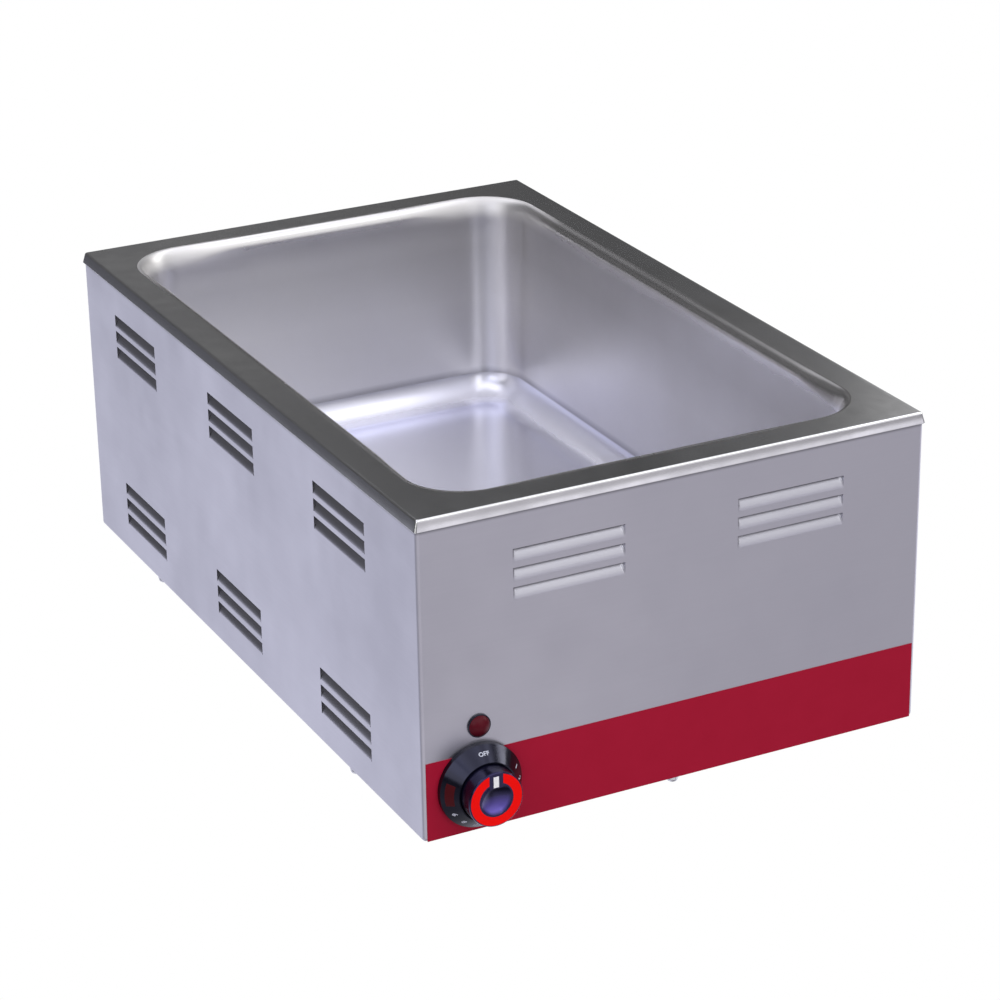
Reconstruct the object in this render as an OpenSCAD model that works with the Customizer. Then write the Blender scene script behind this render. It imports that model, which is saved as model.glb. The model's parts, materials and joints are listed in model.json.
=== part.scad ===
// Countertop food warmer: a deep pressed well in a folded sheet-steel case.
// X runs to the right, Y to the back and Z up from the table, in millimetres.

/* [Well] */
// Width of the mouth between the side walls
mouth_w = 308; // [296:1:316]
// Length of the mouth between the front and back walls
mouth_d = 514; // [500:1:524]
// Corner radius of the walls
mouth_r = 35; // [32:1:48]
// Space from the panels' bottom edges up to the well's floor
floor_rise = 59; // [57:0.5:70]
// Thickness of the well's sheet
well_t = 1; // [0.8:0.1:1.2]
// Radius of the bend from the rim into the walls
bend_r = 7; // [4:0.5:9]
// How far each wall leans in between rim and floor
wall_draft = 3; // [1:0.5:4]
// Radius of the sweep from the walls into the floor
fillet_r = 24; // [18:1:26]
// Height of the rim's turned-down lip
lip_h = 8; // [6:0.5:12]
// Outer radius of the rim's edge and corners
edge_r = 2.5; // [2:0.5:4]

/* [Case] */
// Height of the rim's top face above the table
top_z = 229.5; // [226:0.5:245]
// Height of the panels' bottom edges above the table
stand_z = 9; // [8.5:0.5:12]
// Space from a side wall of the well to the outside of the side panel
side_gap = 29; // [28:0.5:40]
// Space from an end wall of the well to the outside of the end panel
end_gap = 30; // [29:0.5:40]
// Thickness of the case's sheet
sheet_t = 1; // [0.8:0.1:1.2]
// Outer radius of the two front vertical bends
corner_r = 2.5; // [2:0.5:5]
// Width of the flanges turned in at the bottom and the back
flange_w = 14; // [12:0.5:18]
// Height of the strip across the front
decal_h = 54.7; // [40:0.1:60]
// Thickness of the strip
decal_t = 0.3; // [0.2:0.1:0.5]

/* [Louvres] */
// Length of a louvre
louvre_l = 79; // [60:1:90]
// Height of a louvre
louvre_h = 9; // [7:0.5:10]
// How far a louvre is pressed in
louvre_in = 4.5; // [3:0.5:6]
// Spacing of the louvres in a side group
side_pitch = 12.5; // [12:0.1:15]
// Spacing of the louvres in a front group
front_pitch = 13; // [12:0.1:15]
// Spacing of the three side columns
column_gap = 179; // [120:1:185]
// How far the side columns lie behind the middle
column_shift = 7.5; // [0:0.5:12]
// Half the spacing of the two front groups
front_half_gap = 80.5; // [55:0.5:90]
// How far the front groups lie right of the middle
front_shift = 2.6; // [0:0.1:5]
// Drop from the rim to the top louvre of a side group
side_drop = 30.3; // [25:0.1:45]
// Drop from the rim to the top louvre of a front group
front_drop = 32.5; // [25:0.1:45]
// Rise from the panel's bottom edge to the top louvre of a lower side group
side_rise = 56; // [50:0.5:70]

/* [Dial and knob] */
// Distance of the dial's axis from the left side panel
dial_inset = 39; // [34:0.5:60]
// Height of the dial's axis above the panels' bottom edges
dial_rise = 32.5; // [30:0.5:40]
// Radius of the dial
dial_r = 28.8; // [26:0.1:29.5]
// Height of the dial's straight edge
dial_edge = 3.5; // [2.5:0.5:5]
// How far the dial stands out round the knob
dial_out = 13.5; // [10:0.5:15]
// Radius of the knob
knob_r = 18.9; // [17:0.1:20]
// How far the knob's face stands out from the panel
knob_out = 25.2; // [22:0.1:30]
// Outer radius of the knob's ring
ring_r = 17.9; // [16:0.1:18.2]
// Width of the ring
ring_w = 6.1; // [4:0.1:7]
// Width of the notch in the ring
notch_w = 9.6; // [7:0.1:11]
// Width of the pointer
pointer_w = 3.8; // [2:0.1:5]
// Length of the pointer
pointer_l = 7.6; // [5:0.1:9]
// Radius of the thermostat's shaft
shaft_r = 3; // [2.5:0.1:3.5]

/* [Lamp] */
// Height of the lamp above the panels' bottom edges
lamp_rise = 73; // [66:0.5:90]
// Radius of the lamp's flange
lamp_r = 7.9; // [7:0.1:10]
// Radius of the lens
lens_r = 7.2; // [6:0.1:7.6]
// Height of the lens above its flange
lens_h = 4.6; // [3:0.1:6]

/* [Feet and fasteners] */
// Radius of a foot at the top
foot_r = 13; // [10:0.5:16]
// Distance of a foot's axis from the case's side and end
foot_inset = 39; // [30:1:60]
// Radius of a small screw's shank
screw_r = 2; // [1.5:0.1:2.2]
// Radius of a small screw's head
head_r = 4; // [3.4:0.1:4.5]
// Height of a small screw's head
head_h = 3.2; // [2:0.1:3.5]
// Thickness of a nut
nut_h = 3.2; // [2.4:0.1:4]
// Thickness of a washer
washer_t = 1.2; // [0.8:0.1:1.5]

/* [Heater] */
// Radius of the heating element's tube
element_r = 4; // [3:0.25:5]
// Thickness of the clamp strips
clamp_t = 1.2; // [0.8:0.1:2]
// Thickness of the reflector plate
reflector_t = 0.8; // [0.6:0.1:1.2]
// Length of the spacers above the reflector plate
spacer_l = 3.3; // [3:0.1:6]
// Thickness of the insulation
blanket_t = 12; // [8:0.5:14]
// Radius of the sensing bulb
bulb_r = 3; // [2:0.25:4]
// Length of the sensing bulb
bulb_l = 90; // [60:1:110]

/* [Wiring] */
// Radius of the bore for the cord
cord_bore_r = 4.2; // [3.5:0.1:4.5]
// Radius of the gland's barrel
gland_r = 8; // [7:0.1:9]
// How far the gland stands out at the back
gland_out = 7; // [5:0.5:10]
// Radius of a lead
lead_r = 1.6; // [1.2:0.1:1.8]

/* [Hidden] */
$fn = 48;

steel = [0.72, 0.72, 0.76];
zinc = [0.62, 0.63, 0.66];
black = [0.06, 0.06, 0.08];
red = [0.62, 0.06, 0.14];

// clearances and the overrun of cuts
over = 1;
slip = 0.05;
fit = 0.25;
touch = 0.1;
soft_gap = 0.3;

// the case
case_w = mouth_w + 2 * side_gap;
case_d = mouth_d + 2 * end_gap;
left_x = -case_w / 2;
front_y = -case_d / 2;
back_y = case_d / 2;
inner_front_y = front_y + sheet_t;
inner_back_y = back_y - sheet_t;
flat_w = case_w - 2 * corner_r;
panel_top = top_z - edge_r;
panel_h = panel_top - stand_z;
cover_inset = 3;
cover_z = stand_z - sheet_t;
screw_line = flange_w / 2 - sheet_t;

// the rim and the well, whose corner centres are shared by every sweep
rim_w = case_w + 2 * well_t;
rim_d = case_d + 2 * well_t;
corner_x = mouth_w / 2 - mouth_r;
corner_y = mouth_d / 2 - mouth_r;
floor_z = stand_z + floor_rise;
under_z = floor_z - well_t;
crease_a = 78;
ledge_z = floor_z + fillet_r * (1 - cos(crease_a));
low_r = mouth_r - wall_draft;
floor_r = low_r - fillet_r * sin(crease_a);
floor_half_w = corner_x + floor_r;
floor_half_d = corner_y + floor_r;
arc_steps = 10;

// louvre places and the arc of its ramp
louvre_n = 3;
side_rows = [top_z - side_drop, stand_z + side_rise];
side_columns = [for (i = [-1:1]) column_shift + i * column_gap];
front_columns = [for (i = [-1, 1]) front_shift + i * front_half_gap];
front_row = top_z - front_drop;
ramp_a = 2 * atan(louvre_in / louvre_h);
ramp_r = louvre_h / sin(ramp_a);
ramp_steps = 5;

// the dial, the knob and the lamp
dial_x = left_x + dial_inset;
dial_z = stand_z + dial_rise;
dial_base_t = 2;
dial_wall = 1.6;
dial_top_r = knob_r + 0.5 * dial_wall;
knob_gap = 0.6;
knob_lift = 2.5;
knob_base = decal_t + dial_base_t + knob_lift;
screw_head_low = 1.9;
ring_t = 1.5;
ring_proud = 0.1;
ring_in_r = ring_r - ring_w;
knob_wall = 2;
hub_r = 6.5;
hub_depth = 15;
cavity_depth = 14;
dish_r = ring_in_r - 0.5 * knob_wall;
dish_depth = 3.5;
dish_ball = (dish_r * dish_r + dish_depth * dish_depth) / (2 * dish_depth);
pointer_in = 8.6;
pointer_t = 1;
tab_in = pointer_in - 0.3 * knob_wall;
chamfer = 0.6;
lamp_shift = 1;
lamp_x = dial_x + lamp_shift;
lamp_z = stand_z + lamp_rise;
lamp_body_r = 6;
lamp_flange_t = 1.2;
lamp_body_l = 20;
lamp_clip_t = 1.5;
lamp_clip_lap = 1;
lamp_pin_gap = 7;

// the thermostat
stat_w = 44;
stat_h = 34;
stat_d = 24;
stat_screw_gap = 28;
bushing_r = 5;
bushing_out = 2.5;
bore_depth = 10;
hole_play = 1;
shaft_hole_r = bushing_r + hole_play;
flat_cut = 1.5;
tab_w = 6.3;
tab_t = 0.8;
tab_l = 8;
stat_back_y = inner_front_y + stat_d;
line_tab_shares = [0.32, -0.3];
switched_tab_shares = [0, 0.25];
lamp_tab_shares = [0.2, 0.38];
capillary_shares = [-0.32, -0.22];

// how far the case lies behind the middle of the whole
front_reach = knob_out + ring_proud;
case_y = (front_reach - gland_out) / 2;

// screws, nuts and feet
clear_r = screw_r + fit;
nut_r = 4;
recess_w = 1;
recess_d = 1.2;
foot_x = case_w / 2 - foot_inset;
foot_y = case_d / 2 - foot_inset;
foot_h = cover_z;
foot_taper = 2;
foot_pocket_r = head_r + hole_play;
foot_pocket_h = 4;
screw_past = 1.5;
foot_screw_l = foot_h - foot_pocket_h + sheet_t + nut_h + screw_past;
screw_bite = 6;
bottom_screw_l = washer_t + 2 * sheet_t + screw_bite;
back_screw_l = 2 * sheet_t + screw_bite;
back_screw_shares = [0.1, 0.48, 0.86];
side_screw_share = 0.3;
vent_l = 70;
vent_w = 4;
vent_n = 6;
vent_pitch = 14;
vent_share = 0.19;

// the heater below the floor
element_z = under_z - element_r - touch;
run_shares = [-0.72, -0.24, 0.24, 0.72];
back_turn_share = 0.75;
front_turn_share = -0.65;
element_end_share = -0.86;
element_bend = 28;
pin_r = 1.6;
pin_l = 10;
clamp_w = 16;
clamp_y_share = 0.43;
stud_x_share = 0.92;
stud_w = 2 * stud_x_share * floor_half_w;
clamp_top = element_z - element_r - touch;
clamp_low = clamp_top - clamp_t;
clamp_nut_low = clamp_low - nut_h;
reflector_top = clamp_nut_low - spacer_l;
reflector_low = reflector_top - reflector_t;
stud_low = reflector_low - nut_h - screw_past;
spacer_r = 4;
reflector_w_share = 0.97;
reflector_back_share = 0.86;
reflector_front_share = -0.8;
bulb_z = under_z - bulb_r - touch;
bulb_mid_share = -0.11;
clip_t = 1;
clip_wing = 8;
clip_l = 12;
clip_y = bulb_mid_share * floor_half_d;
capillary_r = 1;
capillary_drop = 5;
capillary_share = 0.2;
between_z = (clamp_nut_low + reflector_top) / 2;
cutout_r = 8;
cutout_h = 10;
cutout_x_share = 0.48;
cutout_y_share = -0.26;
blanket_rise = 8;
blanket_drop = 14;
blanket_low = ledge_z + blanket_rise;
blanket_top = top_z - blanket_drop;

// the gland, the terminal block and the earth stud
gland_x_share = 0.65;
gland_x = gland_x_share * case_w / 2;
gland_rise = 36;
gland_z = stand_z + gland_rise;
gland_chamfer = 1;
gland_flange_r = 11;
gland_flange_t = 3;
gland_in = 15;
gland_nut_r = 11.5;
gland_nut_h = 5;
block_l = 40;
block_w = 20;
block_h = 18;
block_shift = 9;
block_inset = 52;
block_x = gland_x - block_shift;
block_y = back_y - block_inset;
block_ways = 3;
block_screw_in = 7;
way_pitch = 12;
way_r = 2.6;
earth_gap = 34;
earth_x = block_x - earth_gap;
earth_r = 2.5;
earth_l = 13;
earth_nut_r = 4.6;
earth_head_h = 2.5;
ring_terminal_r = 5;
ring_terminal_t = 1;
lead_rise = 4.4;
lead_z = stand_z + lead_rise;

// points on an arc, from angle a0 to a1, about c in a plane section
function arc(c, r, a0, a1, n = arc_steps) =
  [for (i = [0:n]) let (a = a0 + (a1 - a0) * i / n) [c[0] + r * cos(a), c[1] + r * sin(a)]];
function flipped(p) = [for (i = [len(p) - 1:-1:0]) p[i]];

// a route with its inner corners rounded by quadratic curves
function unit(v) = v / norm(v);
function curve(a, b, c, n) = [for (i = [0:n]) let (s = i / n)
  (1 - s) * (1 - s) * a + 2 * s * (1 - s) * b + s * s * c];
function rounded(p, r, n = 3) = concat([p[0]],
  [for (i = [1:len(p) - 2]) for (q = curve(
    p[i] + min(r, norm(p[i - 1] - p[i]) / 2.1) * unit(p[i - 1] - p[i]), p[i],
    p[i] + min(r, norm(p[i + 1] - p[i]) / 2.1) * unit(p[i + 1] - p[i]), n)) q],
  [p[len(p) - 1]]);

// rings of a tube along a route, each carried on from the one before
function heading(p, i) = unit(p[min(i + 1, len(p) - 1)] - p[max(i - 1, 0)]);
function square_to(v, t) = unit(v - (v * t) * t);
function sides(p, v, i = 0) = i == len(p) ? [] :
  let (s = square_to(v, heading(p, i))) concat([s], sides(p, s, i + 1));
function rings(p, r, k, v) = let (s = sides(p, v))
  [for (i = [0:len(p) - 1]) for (j = [0:k - 1]) let (t = heading(p, i), a = 360 * j / k)
    p[i] + r * (cos(a) * s[i] + sin(a) * cross(t, s[i]))];

module tube(route, r, k = 8, v = [0, 0, 1]) {
  n = len(route);
  walls = [for (i = [0:n - 2]) for (j = [0:k - 1]) let (a = i * k + j, b = i * k + (j + 1) % k)
    each [[a, a + k, b], [b, a + k, b + k]]];
  last = (n - 1) * k;
  ends = [for (j = [1:k - 2]) each [[0, j, j + 1], [last, last + j + 1, last + j]]];
  polyhedron(points = rings(route, r, k, v), faces = concat(walls, ends));
}

// places a module in the case, whose own middle lies behind the origin
module in_case() {
  translate([0, case_y, 0]) children();
}

// carries a section round a rounded rectangle with corner centres at cx and cy
module sweep(cx, cy) {
  for (s = [0:3])
    translate([(s == 0 || s == 3 ? 1 : -1) * cx, (s < 2 ? 1 : -1) * cy, 0])
      rotate([0, 0, 90 * s]) rotate_extrude(angle = 90) children();
  for (s = [0, 1]) {
    mirror([0, s, 0]) translate([-cx, cy, 0]) rotate([90, 0, 90]) linear_extrude(2 * cx) children();
    mirror([s, 0, 0]) translate([cx, cy, 0]) rotate([90, 0, 0]) linear_extrude(2 * cy) children();
  }
}

module rounded_plate(cx, cy, r) {
  square([2 * cx, 2 * (cy + r)], center = true);
  square([2 * (cx + r), 2 * cy], center = true);
  for (x = [-cx, cx], y = [-cy, cy]) translate([x, y]) circle(r = r);
}

// a screw that points up from the underside of its head, with a cross recess
module screw(l, r = screw_r, hr = head_r, hh = head_h) {
  difference() {
    rotate_extrude() polygon([[0, -hh], [0.55 * hr, -hh], [0.85 * hr, -0.75 * hh], [hr, -0.35 * hh],
      [hr, 0], [r, 0], [r, l - r / 2], [r / 2, l], [0, l]]);
    for (a = [0, 90]) rotate([0, 0, a])
      translate([-hr / 2, -recess_w / 2, -hh - over]) cube([hr, recess_w, recess_d + over]);
  }
}

module nut(r = nut_r, bore = screw_r, h = nut_h) {
  difference() {
    cylinder(h = h, r = r, $fn = 6);
    translate([0, 0, -over]) cylinder(h = h + 2 * over, r = bore + slip);
  }
}

module louvre_window() {
  translate([-louvre_l / 2, -louvre_h]) square([louvre_l, louvre_h]);
}

// the pressed-in ramp of one louvre, whose top edge is at the origin's height
module louvre_ramp() {
  outer = arc([ramp_r, -louvre_h], ramp_r, 180, 180 - ramp_a, ramp_steps);
  inner = arc([ramp_r, -louvre_h], ramp_r - sheet_t, 180, 180 - ramp_a, ramp_steps);
  full = louvre_l + 2 * sheet_t;
  translate([-full / 2, 0, 0]) rotate([90, 0, 90]) linear_extrude(full)
    polygon(concat(outer, flipped(inner)));
  cheek = concat([for (q = outer) [max(q[0], sheet_t), q[1]]], [[sheet_t, 0]]);
  for (x = [-full / 2, louvre_l / 2])
    translate([x, 0, 0]) rotate([90, 0, 90]) linear_extrude(sheet_t) polygon(cheek);
}

module vertical_bend() {
  rotate_extrude(angle = 90) translate([corner_r - sheet_t, 0]) square([sheet_t, panel_h]);
}

module side_outline() {
  difference() {
    translate([front_y + corner_r, stand_z]) square([case_d - 2 * corner_r - sheet_t, panel_h]);
    for (y = side_columns, z = side_rows, i = [0:louvre_n - 1])
      translate([y, z - i * side_pitch]) louvre_window();
  }
}

module front_outline() {
  difference() {
    translate([-flat_w / 2, stand_z]) square([flat_w, panel_h]);
    for (x = front_columns, i = [0:louvre_n - 1])
      translate([x, front_row - i * front_pitch]) louvre_window();
    translate([dial_x, dial_z]) circle(r = shaft_hole_r);
    for (s = [-1, 1]) translate([dial_x + s * stat_screw_gap / 2, dial_z]) circle(r = clear_r);
    translate([lamp_x, lamp_z]) circle(r = lamp_body_r + fit);
  }
}

// the places of the cover's screws
function cover_screws() = concat(
  [[0, front_y + screw_line]], [[0, back_y - screw_line]],
  [for (s = [-1, 1], k = [-1, 1]) [s * (case_w / 2 - screw_line), k * side_screw_share * case_d]]);

module body_wrap() color(steel) in_case() {
  difference() {
    union() {
      translate([0, inner_front_y, 0]) rotate([90, 0, 0]) linear_extrude(sheet_t) front_outline();
      for (x = front_columns, i = [0:louvre_n - 1])
        translate([x, front_y, front_row - i * front_pitch]) louvre_ramp();
      for (s = [0, 1]) mirror([s, 0, 0]) {
        translate([left_x, 0, 0]) rotate([90, 0, 90]) linear_extrude(sheet_t) side_outline();
        for (y = side_columns, z = side_rows, i = [0:louvre_n - 1])
          translate([left_x, y, z - i * side_pitch]) rotate([0, 0, -90]) louvre_ramp();
        translate([left_x + corner_r, front_y + corner_r, stand_z]) rotate([0, 0, 180]) vertical_bend();
        translate([left_x + corner_r, inner_back_y - corner_r, stand_z]) rotate([0, 0, 90]) vertical_bend();
        translate([left_x + corner_r, inner_back_y - sheet_t, stand_z])
          cube([flange_w - corner_r, sheet_t, panel_h]);
      }
      translate([0, 0, stand_z]) linear_extrude(sheet_t) difference() {
        translate([left_x + sheet_t, inner_front_y])
          square([case_w - 2 * sheet_t, case_d - 3 * sheet_t]);
        translate([left_x + flange_w, front_y + flange_w])
          square([case_w - 2 * flange_w, case_d]);
      }
    }
    for (p = cover_screws()) translate([p[0], p[1], stand_z - over])
      cylinder(h = sheet_t + 2 * over, r = clear_r);
    for (s = [-1, 1], k = back_screw_shares)
      translate([s * (case_w / 2 - screw_line), back_y + over, stand_z + k * panel_h])
        rotate([90, 0, 0]) cylinder(h = 2 * sheet_t + 2 * over, r = clear_r);
  }
}

module back_panel() color(steel) in_case() {
  back_half = case_w / 2 + well_t - edge_r;
  flange_half = case_w / 2 - flange_w - fit;
  difference() {
    union() {
      translate([-back_half, inner_back_y, stand_z]) cube([2 * back_half, sheet_t, panel_h]);
      translate([-flange_half, back_y - flange_w, stand_z])
        cube([2 * flange_half, flange_w - sheet_t, sheet_t]);
    }
    translate([gland_x, back_y + over, gland_z]) rotate([90, 0, 0])
      cylinder(h = sheet_t + 2 * over, r = gland_r + fit);
    translate([0, back_y - screw_line, stand_z - over]) cylinder(h = sheet_t + 2 * over, r = clear_r);
    for (s = [-1, 1], k = back_screw_shares)
      translate([s * (case_w / 2 - screw_line), back_y + over, stand_z + k * panel_h])
        rotate([90, 0, 0]) cylinder(h = sheet_t + 2 * over, r = clear_r);
  }
}

module bottom_cover() color(zinc) in_case() {
  translate([0, 0, cover_z]) linear_extrude(sheet_t) difference() {
    square([case_w - 2 * cover_inset, case_d - 2 * cover_inset], center = true);
    for (p = cover_screws()) translate(p) circle(r = clear_r);
    for (x = [-foot_x, foot_x], y = [-foot_y, foot_y]) translate([x, y]) circle(r = clear_r);
    translate([earth_x, block_y]) circle(r = earth_r + fit);
    for (s = [-1, 1]) translate([block_x + s * way_pitch / 2, block_y]) circle(r = clear_r);
    for (y = [-1, 1], i = [0:vent_n - 1])
      translate([0, y * vent_share * case_d + (i - (vent_n - 1) / 2) * vent_pitch])
        square([vent_l, vent_w], center = true);
  }
}

// section of the wall, from the rim's flat through the bend and the sweep to the floor
module wall_section() {
  bend_c = [mouth_r + bend_r, top_z - bend_r];
  fillet_c = [floor_r, floor_z + fillet_r];
  polygon(concat(
    arc(bend_c, bend_r, 90, 180), arc(fillet_c, fillet_r, crease_a - 90, -90),
    arc(fillet_c, fillet_r + well_t, -90, crease_a - 90), arc(bend_c, bend_r - well_t, 180, 90)));
}

module lip_section() {
  low = top_z - lip_h;
  polygon(concat([[edge_r - well_t, low], [edge_r, low]], arc([0, top_z - edge_r], edge_r, 0, 90, 4),
    arc([0, top_z - edge_r], edge_r - well_t, 90, 0, 4)));
}

module well_pan() color(steel) in_case() {
  sweep(corner_x, corner_y) wall_section();
  sweep(rim_w / 2 - edge_r, rim_d / 2 - edge_r) lip_section();
  translate([0, 0, under_z]) linear_extrude(well_t) rounded_plate(corner_x, corner_y, floor_r);
  translate([0, 0, top_z - well_t]) linear_extrude(well_t) difference() {
    square([rim_w - 2 * edge_r, rim_d - 2 * edge_r], center = true);
    rounded_plate(corner_x, corner_y, mouth_r + bend_r);
  }
}

module front_decal() color(red) in_case()
  translate([0, front_y, 0]) rotate([90, 0, 0]) linear_extrude(decal_t) difference() {
    translate([-flat_w / 2, stand_z]) square([flat_w, decal_h]);
    translate([dial_x, dial_z]) circle(r = shaft_hole_r);
    for (s = [-1, 1]) translate([dial_x + s * stat_screw_gap / 2, dial_z]) circle(r = clear_r);
  }

module foot(sx, sy) color(black) in_case() translate([sx * foot_x, sy * foot_y, 0])
  rotate_extrude() polygon([[foot_pocket_r, 0], [foot_r - foot_taper, 0], [foot_r, foot_h],
    [clear_r, foot_h], [clear_r, foot_pocket_h], [foot_pocket_r, foot_pocket_h]]);
module foot_front_left() foot(-1, -1);
module foot_front_right() foot(1, -1);
module foot_rear_left() foot(-1, 1);
module foot_rear_right() foot(1, 1);

module foot_screws() color(zinc) in_case()
  for (x = [-foot_x, foot_x], y = [-foot_y, foot_y]) translate([x, y, foot_pocket_h]) screw(foot_screw_l);

module foot_nuts() color(zinc) in_case()
  for (x = [-foot_x, foot_x], y = [-foot_y, foot_y]) translate([x, y, stand_z]) nut();

module bottom_screws() color(zinc) in_case()
  for (p = cover_screws()) translate([p[0], p[1], cover_z - washer_t]) screw(bottom_screw_l);

module bottom_washers() color(zinc) in_case()
  for (p = cover_screws()) translate([p[0], p[1], cover_z - washer_t]) difference() {
    cylinder(h = washer_t, r = head_r + fit);
    translate([0, 0, -over]) cylinder(h = washer_t + 2 * over, r = clear_r);
  }

module back_screws() color(zinc) in_case()
  for (s = [-1, 1], k = back_screw_shares)
    translate([s * (case_w / 2 - screw_line), back_y, stand_z + k * panel_h])
      rotate([90, 0, 0]) screw(back_screw_l);

module insulation_blanket() color("khaki") in_case() {
  near = mouth_r + well_t + soft_gap;
  sweep(corner_x, corner_y) polygon([[near - wall_draft, blanket_low], [near, blanket_top],
    [near + blanket_t, blanket_top], [near + blanket_t, blanket_low]]);
}

// the element runs to and fro below the floor, and its two pins point forward
module heating_element() color("dimgray") in_case() {
  x = [for (s = run_shares) s * floor_half_w];
  back = back_turn_share * floor_half_d;
  front = front_turn_share * floor_half_d;
  end = element_end_share * floor_half_d;
  z = element_z;
  tube(rounded([[x[0], end, z], [x[0], back, z], [x[1], back, z], [x[1], front, z],
    [x[2], front, z], [x[2], back, z], [x[3], back, z], [x[3], end, z]], element_bend, 6), element_r, 10);
  for (s = [x[0], x[3]]) translate([s, end, z]) rotate([90, 0, 0]) cylinder(h = pin_l, r = pin_r);
}

module at_studs(z) {
  for (x = [-1, 1], y = [-1, 1])
    translate([x * stud_w / 2, y * clamp_y_share * floor_half_d, z]) children();
}

module element_clamps() color(zinc) in_case()
  for (s = [-1, 1]) translate([0, s * clamp_y_share * floor_half_d, clamp_low])
    linear_extrude(clamp_t) difference() {
      square([stud_w + clamp_w, clamp_w], center = true);
      for (x = [-1, 1]) translate([x * stud_w / 2, 0]) circle(r = clear_r);
    }

module pan_studs() color(zinc) in_case()
  at_studs(stud_low) cylinder(h = under_z - stud_low, r = screw_r);

module clamp_nuts() color(zinc) in_case() at_studs(clamp_nut_low) nut();

module reflector_plate() color("lightgray") in_case() {
  w = reflector_w_share * floor_half_w;
  y0 = reflector_front_share * floor_half_d;
  y1 = reflector_back_share * floor_half_d;
  difference() {
    translate([-w, y0, reflector_low]) cube([2 * w, y1 - y0, reflector_t]);
    at_studs(reflector_low - over) cylinder(h = reflector_t + 2 * over, r = clear_r);
  }
}

module reflector_spacers() color(zinc) in_case() at_studs(reflector_top) difference() {
  cylinder(h = spacer_l, r = spacer_r);
  translate([0, 0, -over]) cylinder(h = spacer_l + 2 * over, r = screw_r + slip);
}

module reflector_nuts() color(zinc) in_case() at_studs(reflector_low - nut_h) nut();

module sensing_bulb() color("peru") in_case()
  translate([0, clip_y + bulb_l / 2, bulb_z]) rotate([90, 0, 0]) cylinder(h = bulb_l, r = bulb_r);

// a saddle whose wings lie on the floor's underside
module bulb_clip() color(zinc) in_case() {
  r = bulb_r + touch;
  translate([0, clip_y + clip_l / 2, under_z]) rotate([90, 0, 0]) linear_extrude(clip_l) difference() {
    union() {
      translate([-r - clip_wing, -clip_t]) square([2 * (r + clip_wing), clip_t]);
      translate([-r - clip_t, -r]) square([2 * (r + clip_t), r]);
      translate([0, -r]) circle(r = r + clip_t);
    }
    translate([-r, -r]) square([2 * r, r + over]);
    translate([0, -r]) circle(r = r);
  }
}

module capillary_tube() color("peru") in_case() {
  turn_y = front_turn_share * floor_half_d;
  edge_y = reflector_front_share * floor_half_d;
  x = dial_x + capillary_shares[0] * stat_w;
  z = dial_z + capillary_shares[1] * stat_h;
  low = z - capillary_drop;
  reach = 4 * element_r;
  tube(rounded([[x, stat_back_y, z], [x, stat_back_y + reach, z], [x + reach, edge_y - 2 * reach, low],
    [capillary_share * dial_x, edge_y - reach, low], [0, edge_y - reach / 3, between_z],
    [0, turn_y + reach, between_z], [0, turn_y + 2 * reach, bulb_z],
    [0, clip_y - bulb_l / 2, bulb_z]], element_bend / 4), capillary_r);
}

module stat_tab(p) {
  translate([dial_x + p[0] * stat_w - tab_w / 2, stat_back_y, dial_z + p[1] * stat_h - tab_t / 2])
    cube([tab_w, tab_l, tab_t]);
}

module thermostat_body() color("whitesmoke") in_case() {
  difference() {
    union() {
      translate([dial_x - stat_w / 2, inner_front_y, dial_z - stat_h / 2]) cube([stat_w, stat_d, stat_h]);
      translate([dial_x, inner_front_y, dial_z]) rotate([90, 0, 0]) cylinder(h = bushing_out, r = bushing_r);
      stat_tab(line_tab_shares);
      stat_tab(switched_tab_shares);
    }
    translate([dial_x, inner_front_y + bore_depth, dial_z]) rotate([90, 0, 0])
      cylinder(h = bore_depth + bushing_out + over, r = shaft_r + slip);
    for (s = [-1, 1]) translate([dial_x + s * stat_screw_gap / 2, inner_front_y + bore_depth, dial_z])
      rotate([90, 0, 0]) cylinder(h = bore_depth + over, r = screw_r + slip);
  }
}

// the shaft is round in its bushing and has a flat inside the knob
module shaft_outline(gap = 0) {
  r = shaft_r + gap;
  intersection() {
    circle(r = r);
    translate([-r, -r]) square([2 * r, 2 * r - flat_cut]);
  }
}

module thermostat_shaft() color("silver") in_case()
  translate([dial_x, front_y, dial_z]) rotate([90, 0, 0]) {
    translate([0, 0, knob_base]) linear_extrude(hub_depth - knob_wall) shaft_outline();
    translate([0, 0, knob_wall - bore_depth]) cylinder(h = knob_base + bore_depth - knob_wall, r = shaft_r);
  }

module thermostat_screws() color(zinc) in_case()
  for (s = [-1, 1])
    translate([dial_x + s * stat_screw_gap / 2, front_y - decal_t - dial_base_t, dial_z])
      rotate([-90, 0, 0]) screw(bore_depth, screw_r, head_r - fit, screw_head_low);

module dial_bezel() color(black) in_case()
  translate([dial_x, front_y - decal_t, dial_z]) rotate([90, 0, 0]) difference() {
    rotate_extrude() polygon([[shaft_hole_r, 0], [dial_r, 0], [dial_r, dial_edge],
      [dial_top_r + knob_gap, dial_out - decal_t], [knob_r + knob_gap, dial_out - decal_t],
      [knob_r + knob_gap, dial_base_t], [shaft_hole_r, dial_base_t]]);
    for (s = [-1, 1]) translate([s * stat_screw_gap / 2, 0, -over])
      cylinder(h = dial_base_t + 2 * over, r = clear_r);
  }

// knob parts are drawn with their axis along Z and their face up
module on_dial() {
  in_case() translate([dial_x, front_y, dial_z]) rotate([90, 0, 0]) children();
}

module ring_outline(gap) {
  difference() {
    circle(r = ring_r - gap);
    circle(r = ring_in_r + gap);
    translate([-notch_w / 2 - gap, 0]) square([notch_w + 2 * gap, ring_r + over]);
  }
}

module pointer_outline(gap) {
  translate([-pointer_w / 2 + gap, pointer_in + gap]) square([pointer_w - 2 * gap, pointer_l - 2 * gap]);
}

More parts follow.
